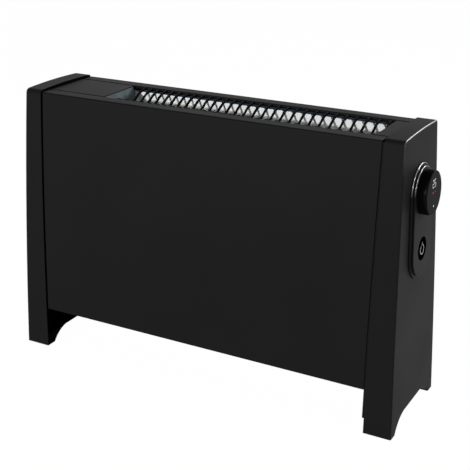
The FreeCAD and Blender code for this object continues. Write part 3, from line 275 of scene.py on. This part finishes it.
@dataclass(frozen=True)
class Finish:
    """A coated or moulded surface: mottled colour, fine grain, edges that are a little polished, and painted
    shade on the bends between front and top.

    Sizes of grain and mottle are cells to the metre. The grain's depth and the edges' radius are lengths.
    """

    name: str
    colour: Colour
    roughness: float
    specular: float = 0.5
    metallic: float = 0.0
    grain: float = 1400.0
    grain_depth: float = 0.00003
    mottle: float = 9.0
    mottle_share: float = 0.12
    edge_radius: float = 0.0006
    edge_lift: float = 1.4
    # Colour factor for painted shade on the bends between front and top; 1 paints none.
    fold_shade: float = 1.0
    edge_coat: float = 0.0
    roll_start: float = 0.3
    polish_low: float = -0.2
    polish_high: float = -0.1
    coat_roughness: float = 0.2
    coat_ior: float = 1.5
    dust: float = 0.0
    dust_colour: Colour = (0.30, 0.29, 0.27)

    def material(self, shared: SharedEffects) -> bpy.types.Material:
        """Builds the material.

        Args:
            shared: The shader groups that finishes share.

        Returns:
            The finished material.
        """
        material = bpy.data.materials.new(self.name)
        material.use_nodes = True
        material.node_tree.nodes.clear()
        graph = Graph(material.node_tree)
        place = graph.add("ShaderNodeTexCoord", {}).outputs["Object"]
        grain = shared.use(graph, shared.grain, {"Place": place, "Fine": self.grain, "Slow": self.mottle})
        edges = shared.use(graph, shared.edges, {"Radius": self.edge_radius})
        dust = shared.use(graph, shared.dust, {"Place": place, "Amount": self.dust})["Dust"]
        colour, roughness, height = self.surface(graph, shared, place, grain)
        colour = graph.blend(edges["Edge"], colour, shade(self.colour, self.edge_lift))
        colour = graph.blend(dust, colour, (*self.dust_colour, 1.0))
        # Painted shade: the bends between the front and the top are darkened.
        if self.fold_shade < 1.0:
            painted_fold = shared.use(graph, shared.fold_shade_group, {})["PaintedFoldShade"]
            colour = graph.blend(painted_fold, colour, shade(self.colour, self.fold_shade))
        bump = graph.add("ShaderNodeBump", {
            "Strength": 1.0, "Distance": self.grain_depth, "Height": height, "Normal": edges["Normal"]})
        shader = graph.add("ShaderNodeBsdfPrincipled", {
            "Base Color": colour, "Roughness": roughness, "Metallic": self.metallic,
            "Specular IOR Level": self.specular, "Normal": bump.outputs[0]})
        if self.edge_coat > 0.0:
            reach = {"Place": place, "Start": self.roll_start,
                     "Low": self.polish_low, "High": self.polish_high}
            roll = shared.use(graph, shared.rolls, reach)["Roll"]
            coat = graph.maths("MULTIPLY", roll, self.edge_coat)
            graph.tree.links.new(coat, shader.inputs["Coat Weight"])
            shader.inputs["Coat Roughness"].default_value = self.coat_roughness
            shader.inputs["Coat IOR"].default_value = self.coat_ior
        graph.add("ShaderNodeOutputMaterial", {"Surface": shader.outputs[0]})
        return material

    def surface(self, graph: Graph, shared: SharedEffects, place: bpy.types.NodeSocket,
                grain: bpy.types.NodeOutputs) -> tuple[Value, Value, Value]:
        """Colour, roughness and height over the surface, before its edges and dust.

        Args:
            graph: The material's graph.
            shared: The shader groups that finishes share.
            place: Object coordinates.
            grain: Outputs of the placed grain group.

        Returns:
            Colour, roughness and height.
        """
        colour = graph.blend(grain["Mottle"], shade(self.colour, 1.0 - self.mottle_share),
                             shade(self.colour, 1.0 + self.mottle_share))
        roughness = graph.ramp(grain["Mottle"], 0.3, 0.7, self.roughness - 0.04, self.roughness + 0.04)
        return colour, roughness, grain["Grain"]


@dataclass(frozen=True)
class ShadedInside(Finish):
    """A wall whose faces towards the heater's middle are dull and have a painted colour, below a height.

    A face looks to the middle where its normal's part along an axis, times its place on that axis, is below
    zero. The colour comes in between two such products. On the caps it is near black, painted shade on their
    inner walls; on the panels it is a dark blue for their bare insides, whose blue is a painted reflection.
    """

    inside_axis: str = "Y"
    # The panels' colour towards the middle: bare zinc with a painted bluish reflection.
    inside_shade_colour: Colour = (0.06, 0.13, 0.24)
    inside_start: float = -0.005
    inside_full: float = -0.015
    inside_top: float = 0.4045

    def surface(self, graph: Graph, shared: SharedEffects, place: bpy.types.NodeSocket,
                grain: bpy.types.NodeOutputs) -> tuple[Value, Value, Value]:
        """The plain surface, with the faces towards the middle dull and in their painted colour; see
        Finish.surface.
        """
        colour, roughness, height = super().surface(graph, shared, place, grain)
        normal = graph.add("ShaderNodeNewGeometry", {}).outputs["Normal"]
        turn = graph.add("ShaderNodeSeparateXYZ", {0: normal}).outputs
        spot = graph.add("ShaderNodeSeparateXYZ", {0: place}).outputs
        facing = {0: turn[self.inside_axis], 1: spot[self.inside_axis]}
        inward = graph.add("ShaderNodeMath", facing, operation="MULTIPLY").outputs[0]
        turned = graph.ramp(inward, self.inside_start, self.inside_full, 0.0, 1.0)
        below = graph.ramp(spot["Z"], self.inside_top, self.inside_top - 0.0002, 0.0, 1.0)
        # Mask of painted colour on the faces towards the middle: painted shade on the caps, a painted bluish
        # reflection on the panels.
        shaded_inside = graph.maths("MULTIPLY", turned, below)
        dull = graph.add("ShaderNodeMix", {0: shaded_inside, 2: roughness, 3: 1.0}, data_type="FLOAT").outputs[0]
        return graph.blend(shaded_inside, colour, (*self.inside_shade_colour, 1.0)), dull, height


@dataclass(frozen=True)
class ZincSheet(Finish):
    """Galvanised sheet, with crystals of slightly different tone, and a dark blue above a height that is
    painted shade with a painted bluish reflection.
    """

    crystal: float = 140.0
    spread: float = 0.16
    # Above this height the colour is painted shade with a painted bluish reflection.
    painted_shade_height: float = 1.0
    painted_shade_colour: Colour = (0.11, 0.17, 0.25)

    def surface(self, graph: Graph, shared: SharedEffects, place: bpy.types.NodeSocket,
                grain: bpy.types.NodeOutputs) -> tuple[Value, Value, Value]:
        """Crystal tones, with the feathering as height; see Finish.surface."""
        zinc = shared.use(graph, shared.spangle, {"Place": place, "Scale": self.crystal})
        colour = graph.blend(zinc["Tone"], shade(self.colour, 1.0 - self.spread), shade(self.colour, 1.0))
        height = graph.add("ShaderNodeSeparateXYZ", {0: place}).outputs["Z"]
        # Painted shade: the sheet's top is turned dark blue.
        painted_shade_top = graph.ramp(height, self.painted_shade_height - 0.0002, self.painted_shade_height, 0.0, 1.0)
        colour = graph.blend(painted_shade_top, colour, (*self.painted_shade_colour, 1.0))
        roughness = graph.ramp(zinc["Tone"], 0.0, 1.0, self.roughness - 0.06, self.roughness + 0.06)
        return colour, roughness, zinc["Feather"]


@dataclass(frozen=True)
class DrawnMetal(Finish):
    """Metal with fine drawn lines along X."""

    spread: float = 0.14

    def surface(self, graph: Graph, shared: SharedEffects, place: bpy.types.NodeSocket,
                grain: bpy.types.NodeOutputs) -> tuple[Value, Value, Value]:
        """Line tones, with the lines as height; see Finish.surface."""
        line = shared.use(graph, shared.brushing, {"Place": place})["Line"]
        colour = graph.blend(line, shade(self.colour, 1.0 - self.spread),
                             shade(self.colour, 1.0 + self.spread))
        roughness = graph.ramp(line, 0.3, 0.7, self.roughness - 0.08, self.roughness + 0.08)
        return colour, roughness, line


@dataclass(frozen=True)
class CircuitBoard(Finish):
    """Solder mask with pale tracks under it."""

    track_colour: Colour = (0.06, 0.30, 0.12)
    track_pitch: float = 260.0

    def surface(self, graph: Graph, shared: SharedEffects, place: bpy.types.NodeSocket,
                grain: bpy.types.NodeOutputs) -> tuple[Value, Value, Value]:
        """Tracks as a brick pattern of narrow joints; see Finish.surface."""
        turned = graph.add("ShaderNodeMapping", {"Vector": place, "Rotation": (0.0, math.pi / 2, 0.0)})
        tracks = graph.add("ShaderNodeTexBrick", {
            "Vector": turned.outputs[0], "Scale": self.track_pitch, "Mortar Size": 0.06,
            "Color1": shade(self.colour, 0.9), "Color2": shade(self.colour, 1.1),
            "Mortar": (*self.track_colour, 1.0)})
        joint = tracks.outputs["Fac"]
        return tracks.outputs["Color"], graph.ramp(joint, 0.0, 1.0, 0.45, 0.3), joint


@dataclass(frozen=True)
class BraidedSleeve(Finish):
    """A woven sleeve round wires."""

    strand: float = 520.0

    def surface(self, graph: Graph, shared: SharedEffects, place: bpy.types.NodeSocket,
                grain: bpy.types.NodeOutputs) -> tuple[Value, Value, Value]:
        """Two crossing sets of strands, the higher of which shows; see Finish.surface."""
        heights = []
        for lean in (math.pi / 4, -math.pi / 4):
            turned = graph.add("ShaderNodeMapping", {"Vector": place, "Rotation": (0.0, lean, lean)})
            wave = graph.add("ShaderNodeTexWave", {"Vector": turned.outputs[0], "Scale": self.strand})
            heights.append(wave.outputs["Fac"])
        height = graph.maths("MAXIMUM", *heights)
        colour = graph.blend(height, shade(self.colour, 0.4), shade(self.colour, 1.2))
        return colour, graph.ramp(height, 0.0, 1.0, 0.9, self.roughness), height


@dataclass(frozen=True)
class Glow(Finish):
    """A lit mark: a printed surface that gives a little light in its own colour."""

    light: float = 0.6

    def material(self, shared: SharedEffects) -> bpy.types.Material:
        """Builds the material with its own light; see Finish.material."""
        material = super().material(shared)
        nodes = material.node_tree.nodes
        shader = next(node for node in nodes if node.type == "BSDF_PRINCIPLED")
        source = shader.inputs["Base Color"].links[0].from_socket
        material.node_tree.links.new(source, shader.inputs["Emission Color"])
        shader.inputs["Emission Strength"].default_value = self.light
        return material


BLACK_STEEL = Finish("black_powder_coat", (0.0079, 0.0079, 0.0079), 0.50, specular=0.033, grain=1700.0,
                     grain_depth=0.00002, mottle=7.0, mottle_share=0.16, edge_lift=1.5, dust=0.01)
# The panels' faces towards the middle, below the lip, are dark blue: bare zinc with a painted bluish
# reflection.
PANEL_STEEL = ShadedInside("panel_powder_coat", (0.0081, 0.0081, 0.0081), 0.50, specular=0.033, grain=1700.0,
                       grain_depth=0.00002, mottle=7.0, mottle_share=0.16, edge_lift=1.5, fold_shade=0.55,
                       dust=0.01)
GRILLE_BLACK = Finish("grille_satin_black", (0.0016, 0.0016, 0.0017), 0.45, specular=0.02, edge_lift=1.6)
# The caps' inner walls, facing the middle, are near black: painted shade.
CAP_PLASTIC = ShadedInside("cap_moulding", (0.0084, 0.0084, 0.0084), 0.50, specular=0.030, grain=2300.0,
                       grain_depth=0.00003, edge_radius=0.0007, fold_shade=0.65, edge_coat=0.8,
                       polish_low=0.365, polish_high=0.390, dust=0.01, inside_axis="X",
                       inside_shade_colour=(0.0008, 0.0008, 0.0008), inside_start=-0.08, inside_full=-0.16,
                       inside_top=1.0)
# Near black: a black moulding darkened further as painted shade on the left leg's inner side.
SHADED_INNER_PLASTIC = Finish("inner_moulding_painted_shade", (0.0004, 0.0004, 0.0004), 0.6, specular=0.0, grain=2000.0)
# Lighter than the caps: painted light that softens the shaded seam beside the right cap.
SEAM_PAINTED_LIGHT_PLASTIC = Finish("seam_moulding_painted_light", (0.0115, 0.0115, 0.0115), 0.6, specular=0.0, grain=2000.0)
MODULE_PLASTIC = Finish("module_moulding", (0.0078, 0.0078, 0.0078), 0.48, specular=0.034, grain=2500.0,
                        grain_depth=0.00002, edge_coat=1.0, coat_roughness=0.16, coat_ior=2.4,
                        polish_low=0.331, polish_high=0.343)
GLOSS_BLACK = Finish("gloss_black", (0.0036, 0.0036, 0.0037), 0.28, specular=0.01, grain=700.0,
                     grain_depth=0.000004, edge_radius=0.0004, edge_lift=1.2)
BUTTON_BLACK = Finish("button_black", (0.0006, 0.0006, 0.0006), 0.3, specular=0.0, grain=900.0,
                      grain_depth=0.000004, edge_radius=0.0003, edge_lift=1.2)
SMOKED_LENS = Finish("smoked_lens", (0.0074, 0.0074, 0.0080), 0.32, specular=0.006, grain=900.0,
                     grain_depth=0.000004, edge_radius=0.0003, edge_lift=1.2)
DRUM_PLASTIC = Finish("drum_moulding", (0.012, 0.012, 0.012), 0.55, specular=0.3)
WHEEL_PLASTIC = Finish("wheel_moulding", (0.05, 0.05, 0.052), 0.5, specular=0.4, mottle=60.0)
COMPONENT_BLACK = Finish("component_moulding", (0.02, 0.02, 0.021), 0.4, specular=0.4)
TERMINAL_NYLON = Finish("natural_nylon", (0.72, 0.71, 0.66), 0.45, mottle=40.0, mottle_share=0.04)
CERAMIC = Finish("glazed_ceramic", (0.80, 0.77, 0.70), 0.2, grain=500.0, mottle=50.0, mottle_share=0.05)
RUBBER = Finish("matt_rubber", (0.014, 0.014, 0.014), 0.75, specular=0.25, grain=1800.0, grain_depth=0.00006)
# The shield's top, in the shadow of the back lip, is painted dark blue: painted shade.
SHIELD_ZINC = ZincSheet("bright_zinc", (0.92, 0.94, 0.93), 0.45, edge_lift=1.0, crystal=170.0, spread=0.06,
                        painted_shade_height=0.4006)
# A darker, bluer copy of the shield's zinc: painted shade with a painted bluish reflection on the partition
# and the chamber's end plate.
SHADED_WALL_ZINC = ZincSheet("shaded_zinc", (0.125, 0.160, 0.168), 0.42, specular=0.25,
                      grain_depth=0.00004, edge_lift=1.1, crystal=120.0, spread=0.28)
FIN_METAL = DrawnMetal("fin_aluminium", (0.62, 0.62, 0.62), 0.38, metallic=1.0, edge_lift=1.1)
PLATED_STEEL = DrawnMetal("plated_steel", (0.56, 0.56, 0.55), 0.32, metallic=1.0, edge_lift=1.15)
BOARD_GREEN = CircuitBoard("green_board", (0.012, 0.10, 0.035), 0.4)
SLEEVE = BraidedSleeve("wire_sleeve", (0.02, 0.02, 0.02), 0.6)
LIT_WHITE = Glow("lit_white", (0.80, 0.82, 0.84), 0.5, mottle=120.0, mottle_share=0.05, light=0.35)
PRINT_WHITE = Finish("printed_white", (0.80, 0.80, 0.80), 0.5, mottle=150.0, mottle_share=0.06)
LIT_RED = Glow("lit_red", (0.75, 0.02, 0.02), 0.4, mottle=300.0, light=0.5)
LIT_BLUE = Glow("lit_blue", (0.03, 0.03, 0.30), 0.4, mottle=300.0, light=0.2)

NODE_FINISHES: dict[Finish, tuple[str, ...]] = {
    PANEL_STEEL: ("front_panel", "back_panel"),
    BLACK_STEEL: ("top_cover_plate", "top_end_strip", "bottom_grille"),
    GRILLE_BLACK: ("outlet_grille",),
    CAP_PLASTIC: ("left_end_cap", "right_end_cap"),
    SHADED_INNER_PLASTIC: ("left_end_plate",),
    SEAM_PAINTED_LIGHT_PLASTIC: ("right_end_plate",),
    MODULE_PLASTIC: ("module_bezel", "control_plate"),
    GLOSS_BLACK: ("dial_ring",),
    BUTTON_BLACK: ("power_button",),
    SMOKED_LENS: ("display_lens",),
    DRUM_PLASTIC: ("display_drum", "blower_housing"),
    WHEEL_PLASTIC: ("blower_wheel",),
    COMPONENT_BLACK: ("relays", "tilt_switch", "power_switch", "board_standoffs"),
    TERMINAL_NYLON: ("terminal_block",),
    CERAMIC: ("element_bushes",),
    RUBBER: ("foot_pads", "cable_gland"),
    SHIELD_ZINC: ("rear_heat_shield", "front_heat_shield"),
    SHADED_WALL_ZINC: ("partition_plate", "chamber_end_plate"),
    FIN_METAL: ("heating_element",),
    PLATED_STEEL: ("thermal_cutout", "blower_motor", "blower_shaft", "cap_screws_left", "cap_screws_right",
                   "bottom_screws"),
    BOARD_GREEN: ("power_board", "display_board", "switch_board"),
    SLEEVE: ("wiring_loom",),
}


class Dresser:
    """Keeps one material for each finish, and puts it on nodes and pieces."""

    def __init__(self, shared: SharedEffects) -> None:
        """Starts with no materials made."""
        self.shared = shared
        self.made: dict[str, bpy.types.Material] = {}

    def dress(self, thing: bpy.types.Object, finish: Finish) -> None:
        """Puts a finish on all of an object."""
        if finish.name not in self.made:
            self.made[finish.name] = finish.material(self.shared)
        thing.data.materials.clear()
        thing.data.materials.append(self.made[finish.name])

    def dress_nodes(self, nodes: dict[str, bpy.types.Object]) -> None:
        """Puts each node's own finish on it."""
        for finish, names in NODE_FINISHES.items():
            for name in names:
                self.dress(nodes[name], finish)
                LOG.info("node %s: %s", name, finish.name)


# Surfaces worked out on grids


def unit(way: np.ndarray) -> np.ndarray:
    """Ways of length 1."""
    return way / np.linalg.norm(way, axis=-1, keepdims=True)


def stroke(path: np.ndarray, half_width: float, rise: float, around: int = 12) -> np.ndarray:
    """A closed rounded stroke along a flat path.

    At a share u of the path and an angle t, the point is the path's point, plus half_width * e(u) * cos t
    across the path, at the height rise * e(u) * sin t. The end factor e(u) falls to nothing over the first
    and last half width as a quarter ellipse, so that the ends are round.

    Args:
        path: Points on the drawing plane, as rows of two.
        half_width: Half of the stroke's width.
        rise: Height of the stroke above the plane, which is also its depth below it.
        around: Points round the section.

    Returns:
        Rings of points, as an array of path points by around by three.
    """
    run = np.concatenate([[0.0], np.cumsum(np.linalg.norm(np.diff(path, axis=0), axis=1))])
    steps = np.linspace(0.0, math.pi / 2, 5)[:-1]
    lead_in = half_width * (1.0 - np.cos(steps))
    places = np.concatenate([lead_in, run[(run > half_width) & (run < run[-1] - half_width)],
                             run[-1] - lead_in[::-1]])
    line = np.stack([np.interp(places, run, path[:, axis]) for axis in (0, 1)], axis=1)
    way = unit(np.gradient(line, axis=0))
    square = np.stack([-way[:, 1], way[:, 0]], axis=1)
    end = np.minimum(places, run[-1] - places)
    size = np.sqrt(np.clip(1.0 - (1.0 - np.clip(end / half_width, 0.02, 1.0)) ** 2, 0.0, 1.0))
    turn = np.linspace(0.0, 2 * math.pi, around, endpoint=False)
    flat = line[:, None, :] + square[:, None, :] * (half_width * size[:, None] * np.cos(turn))[:, :, None]
    height = rise * size[:, None] * np.sin(turn)
    return np.concatenate([flat, height[:, :, None]], axis=2)


def dome(centre: tuple[float, float], radius: float, rise: float, lobes: int = 0,
         around: int = 32, rings: int = 8) -> np.ndarray:
    """A closed low dome on the drawing plane.

    At an angle t and a polar angle p, the point is r(t) * sin p out from the centre, at the height
    rise * cos p, where r(t) = radius * (1 + 0.2 * cos(lobes * t)) with lobes, and the radius without.

    Args:
        centre: The dome's middle on the plane.
        radius: Its radius.
        rise: Its height above the plane, which is also its depth below it.
        lobes: Number of corners of its outline, or none for a round one.
        around: Points round the axis.
        rings: Rings from the top to the bottom.

    Returns:
        Rings of points, as an array of rings by around by three.
    """
    turn = np.linspace(0.0, 2 * math.pi, around, endpoint=False)
    polar = np.linspace(0.02, math.pi - 0.02, rings)[:, None]
    reach = radius * (1.0 + (0.2 * np.cos(lobes * (turn - math.pi / 2)) if lobes else 0.0 * turn))
    return np.stack([centre[0] + reach * np.cos(turn) * np.sin(polar),
                     centre[1] + reach * np.sin(turn) * np.sin(polar),
                     rise * np.cos(polar) + 0.0 * turn], axis=2)


def arc(centre: tuple[float, float], radius: float, start: float, end: float, count: int = 49) -> np.ndarray:
    """Points of a flat arc between two angles in degrees."""
    turn = np.radians(np.linspace(start, end, count))
    return np.stack([centre[0] + radius * np.cos(turn), centre[1] + radius * np.sin(turn)], axis=1)


def line(start: tuple[float, float], end: tuple[float, float], count: int = 9) -> np.ndarray:
    """Points of a flat straight line."""
    return np.linspace(start, end, count)


def solid(name: str, skins: list[np.ndarray]) -> bpy.types.Object:
    """Makes one object of closed skins.

    Each skin is an array of rings by points by three. Neighbouring rings are joined by quads, and the first
    and last ring are closed. A skin whose signed volume is negative has its faces turned round.

    Args:
        name: The object's name.
        skins: The skins.

    Returns:
        The new object, linked to the scene.
    """
    points, faces = [], []
    for rings in skins:
        count, around = rings.shape[:2]
        first = sum(len(block) for block in points)
        index = first + np.arange(count * around).reshape(count, around)
        beside = np.roll(index, -1, axis=1)
        quads = np.stack([index[:-1], beside[:-1], beside[1:], index[1:]], axis=-1).reshape(-1, 4)
        flat = rings.reshape(-1, 3)
        corners = flat[quads - first]
        volume = np.einsum("ij,ij->", corners[:, 0], np.cross(corners[:, 1], corners[:, 2]))
        volume += np.einsum("ij,ij->", corners[:, 0], np.cross(corners[:, 2], corners[:, 3]))
        skin = [*quads.tolist(), index[0][::-1].tolist(), index[-1].tolist()]
        faces.extend(face[::-1] for face in skin) if volume < 0 else faces.extend(skin)
        points.append(flat)
    mesh = bpy.data.meshes.new(name)
    mesh.from_pydata(np.concatenate(points).tolist(), [], faces)
    mesh.shade_smooth()
    piece = bpy.data.objects.new(name, mesh)
    bpy.context.scene.collection.objects.link(piece)
    return piece


@dataclass(frozen=True)
class Face:
    """A flat face of the object to draw on: its origin, and its ways across, up and out."""

    origin: np.ndarray
    across: np.ndarray
    up: np.ndarray
    out: np.ndarray

    def place(self, rings: np.ndarray) -> np.ndarray:
        """Points of the drawing plane, moved on to the face."""
        return self.origin + rings @ np.stack([self.across, self.up, self.out])

    @staticmethod
    def of_node(node: bpy.types.Object, axis_point: np.ndarray, out: np.ndarray) -> "Face":
        """The outermost face of a node that is square to an axis.

        Args:
            node: The node's object.
            axis_point: A point on the axis through the face's middle.
            out: The axis, pointing out of the node.

        Returns:
            The face, with its origin on the axis.
        """
        places = np.empty(len(node.data.vertices) * 3)
        node.data.vertices.foreach_get("co", places)
        reach = ((places.reshape(-1, 3) - axis_point) @ out).max()
        across = np.array([0.0, 1.0, 0.0])
        return Face(axis_point + out * reach, across, np.cross(out, across), out)


# Marks on the controls


class Digit(Enum):
    """Digits by the segments that they light, named a to g as on a seven-segment display."""

    TWO = "abged"
    FIVE = "afgcd"


@dataclass
class Display:
    """The lit marks on the dial's fixed face: a setting, two lamps and a small pointer mark."""

    face: Face
    shift: float = -1.2 * MM
    digit_height: float = 9.8 * MM
    digit_width: float = 4.6 * MM
    digit_gap: float = 2.2 * MM
    digit_rise: float = 13.4 * MM
    stroke_half: float = 0.36 * MM
    relief: float = 0.06 * MM
    lamp_spread: float = 3.8 * MM
    lamp_rise: float = 1.4 * MM
    lamp_radius: float = 1.1 * MM
    pointer_drop: float = 17.4 * MM
    pointer_radius: float = 1.25 * MM
    digits: tuple[Digit, ...] = (Digit.TWO, Digit.FIVE)

    def segment(self, letter: str, middle: float) -> np.ndarray:
        """One segment of a digit, as a stroke on the drawing plane.

        Args:
            letter: The segment's letter.
            middle: The digit's middle across the face.

        Returns:
            The stroke's rings.
        """
        half, high = self.digit_width / 2, self.digit_height / 2
        left, right = middle - half, middle + half
        top, centre, low = self.digit_rise + high, self.digit_rise, self.digit_rise - high
        ends = {
            "a": ((left, top), (right, top)), "g": ((left, centre), (right, centre)),
            "d": ((left, low), (right, low)), "f": ((left, top), (left, centre)),
            "b": ((right, top), (right, centre)), "e": ((left, centre), (left, low)),
            "c": ((right, centre), (right, low)),
        }
        return stroke(line(*ends[letter]), self.stroke_half, self.relief)

    def build(self, dresser: Dresser) -> None:
        """Makes the digits, lamps and pointer, and sets them on the face."""
        step = self.digit_width + self.digit_gap
        first = self.shift - step * (len(self.digits) - 1) / 2
        strokes = [self.segment(letter, first + step * index)
                   for index, digit in enumerate(self.digits) for letter in digit.value]
        left, right = self.shift - self.lamp_spread, self.shift + self.lamp_spread
        pieces = (
            ("display_digits", strokes, LIT_WHITE),
            ("heat_lamp", [dome((left, self.lamp_rise), self.lamp_radius, 2 * self.relief)], LIT_RED),
            ("cool_lamp", [dome((right, self.lamp_rise), self.lamp_radius, 2 * self.relief)], LIT_BLUE),
            ("dial_pointer",
             [dome((self.shift, -self.pointer_drop), self.pointer_radius, self.relief, lobes=3)], LIT_WHITE),
        )
        for name, skins, finish in pieces:
            add_piece(solid(name, [self.face.place(skin) for skin in skins]), finish, Body.HEATER,
                      dresser)


@dataclass
class ButtonMark:
    """The printed ring and bar on the power button."""

    face: Face
    ring_radius: float = 6.6 * MM
    ring_gap: float = 36.0
    bar_low: float = 5.2 * MM
    bar_high: float = 10.4 * MM
    stroke_half: float = 0.45 * MM
    relief: float = 0.05 * MM
    drop: float = 1.2 * MM

    def build(self, dresser: Dresser) -> None:
        """Makes the mark, and sets it on the button."""
        middle = (0.0, -self.drop)
        ring = arc(middle, self.ring_radius, 90.0 + self.ring_gap, 450.0 - self.ring_gap)
        bar = line((0.0, self.bar_low - self.drop), (0.0, self.bar_high - self.drop))
        skins = [self.face.place(stroke(path, self.stroke_half, self.relief)) for path in (ring, bar)]
        add_piece(solid("power_mark", skins), PRINT_WHITE, Body.BUTTON, dresser)


def add_piece(piece: bpy.types.Object, finish: Finish, body: Body, dresser: Dresser) -> None:
    """Dresses a new piece, and makes it ride on its body.

    Args:
        piece: The piece's object.
        finish: Its finish.
        body: The body that it moves with.
        dresser: Keeps the materials.
    """
    dresser.dress(piece, finish)
    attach(piece, body.value)
    LOG.info("piece %s: %s, on %s", piece.name, finish.name, body.value)


# Studio


@dataclass(frozen=True)
class SoftBox:
    """A square lamp that faces the heater: the way to it, its distance, its sides and its power."""

    name: str
    way: Place
    distance: float
    width: float
    height: float
    watts: float


@dataclass
class Studio:
    """The floor, the lamps, the background and the camera."""

    lens: float = 79.81
    camera_place: Place = (0.701415, -1.249651, 0.768605)
    heading: float = 28.626
    pitch: float = 21.199
    roll: float = 0.081
    floor_half: float = 30.0
    floor_colour: Colour = (0.92, 0.92, 0.92)
    background_share: float = 0.99
    ambient: float = 0.15
    aim: Place = (0.0, 0.0, 0.25)
    lamps: tuple[SoftBox, ...] = field(default_factory=lambda: (
        SoftBox("key", (-0.266, -0.923, 0.277), 2.8, 0.12, 0.12, 58.0),
        SoftBox("upper_back", (0.66, 0.62, 0.42), 2.4, 0.5, 0.5, 17.0),
        SoftBox("upper_side", (0.83, -0.09, 0.54), 2.4, 0.3, 0.3, 8.0),
        SoftBox("lower_side", (0.89, -0.34, 0.31), 2.4, 0.3, 0.3, 8.0),
        SoftBox("rim", (0.32, 0.84, 0.42), 2.4, 0.9, 0.5, 15.0),
    ))

    def build(self) -> None:
        """Makes the whole studio."""
        self.set_camera()
        self.lay_floor()
        self.set_background()
        for lamp in self.lamps:
            self.hang(lamp)
        bpy.context.scene.view_settings.view_transform = "Standard"

    def set_camera(self) -> None:
        """Sets the camera at the photograph's place and angle."""
        camera = bpy.data.cameras.new("camera")
        camera.lens = self.lens
        camera.sensor_width = SENSOR_WIDTH
        thing = bpy.data.objects.new("camera", camera)
        thing.location = self.camera_place
        level = Euler((math.radians(90.0 - self.pitch), 0.0, math.radians(self.heading))).to_quaternion()
        thing.rotation_euler = (level @ Euler((0.0, 0.0, math.radians(self.roll))).to_quaternion()).to_euler()
        bpy.context.scene.collection.objects.link(thing)
        bpy.context.scene.camera = thing

    @staticmethod
    def seen_share(graph: Graph) -> bpy.types.NodeSocket:
        """1 where the camera, a reflection or a clear piece looks, and 0 for light that only falls."""
        path = graph.add("ShaderNodeLightPath", {}).outputs
        mirrored = graph.maths("ADD", path["Is Glossy Ray"], path["Is Transmission Ray"])
        return graph.maths("ADD", path["Is Camera Ray"], mirrored)

    def lay_floor(self) -> None:
        """Lays a pale floor that keeps the heater's shadow."""
        half = self.floor_half
        mesh = bpy.data.meshes.new("floor")
        mesh.from_pydata([(-half, -half, 0.0), (half, -half, 0.0), (half, half, 0.0), (-half, half, 0.0)],
                         [], [(0, 1, 2, 3)])
        floor = bpy.data.objects.new("floor", mesh)
        bpy.context.scene.collection.objects.link(floor)
        material = bpy.data.materials.new("pale_floor")
        material.use_nodes = True
        material.node_tree.nodes.clear()
        graph = Graph(material.node_tree)
        pale = graph.add("ShaderNodeBsdfDiffuse", {"Color": (*self.floor_colour, 1.0)})
        white = graph.add("ShaderNodeEmission", {"Strength": 1.0})
        share = graph.maths("MULTIPLY", self.seen_share(graph), self.background_share)
        mixed = graph.add("ShaderNodeMixShader", {0: share, 1: pale.outputs[0], 2: white.outputs[0]})
        graph.add("ShaderNodeOutputMaterial", {"Surface": mixed.outputs[0]})
        mesh.materials.append(material)

    def set_background(self) -> None:
        """Makes the background white to the eye, and a plain dim light for the rest."""
        world = bpy.data.worlds.new("studio")
        world.use_nodes = True
        world.node_tree.nodes.clear()
        graph = Graph(world.node_tree)
        dim = graph.add("ShaderNodeBackground", {"Strength": self.ambient})
        white = graph.add("ShaderNodeBackground", {"Strength": 1.0})
        for background in (dim, white):
            background.inputs["Color"].default_value = (1.0, 1.0, 1.0, 1.0)
        mixed = graph.add("ShaderNodeMixShader", {0: self.seen_share(graph), 1: dim.outputs[0],
                                                  2: white.outputs[0]})
        graph.add("ShaderNodeOutputWorld", {"Surface": mixed.outputs[0]})
        bpy.context.scene.world = world

    def hang(self, lamp: SoftBox) -> None:
        """Hangs one lamp, turned to the heater."""
        light = bpy.data.lights.new(lamp.name, "AREA")
        light.shape = "RECTANGLE"
        light.size, light.size_y = lamp.width, lamp.height
        light.energy = lamp.watts
        thing = bpy.data.objects.new(lamp.name, light)
        way = Vector(lamp.way).normalized()
        thing.location = Vector(self.aim) + way * lamp.distance
        thing.rotation_euler = way.to_track_quat("Z", "Y").to_euler()
        bpy.context.scene.collection.objects.link(thing)


def main() -> None:
    """Builds the studio, dresses the frame's nodes and adds the marks."""
    logging.basicConfig(level=logging.INFO, format="%(message)s")
    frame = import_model()
    Studio().build()
    dresser = Dresser(SharedEffects())
    dresser.dress_nodes(frame["nodes"])
    dial = next(joint for joint in frame["joints"] if joint["name"] == "dial_turn")
    axis, middle = np.array(dial["axis"]), np.array(dial["pos_m"])
    Display(Face.of_node(frame["nodes"]["display_lens"], middle, axis)).build(dresser)
    low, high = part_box("power_button")
    button_middle = np.array((low + high) / 2)
    ButtonMark(Face.of_node(frame["nodes"]["power_button"], button_middle, axis)).build(dresser)


if __name__ == "__main__":
    main()
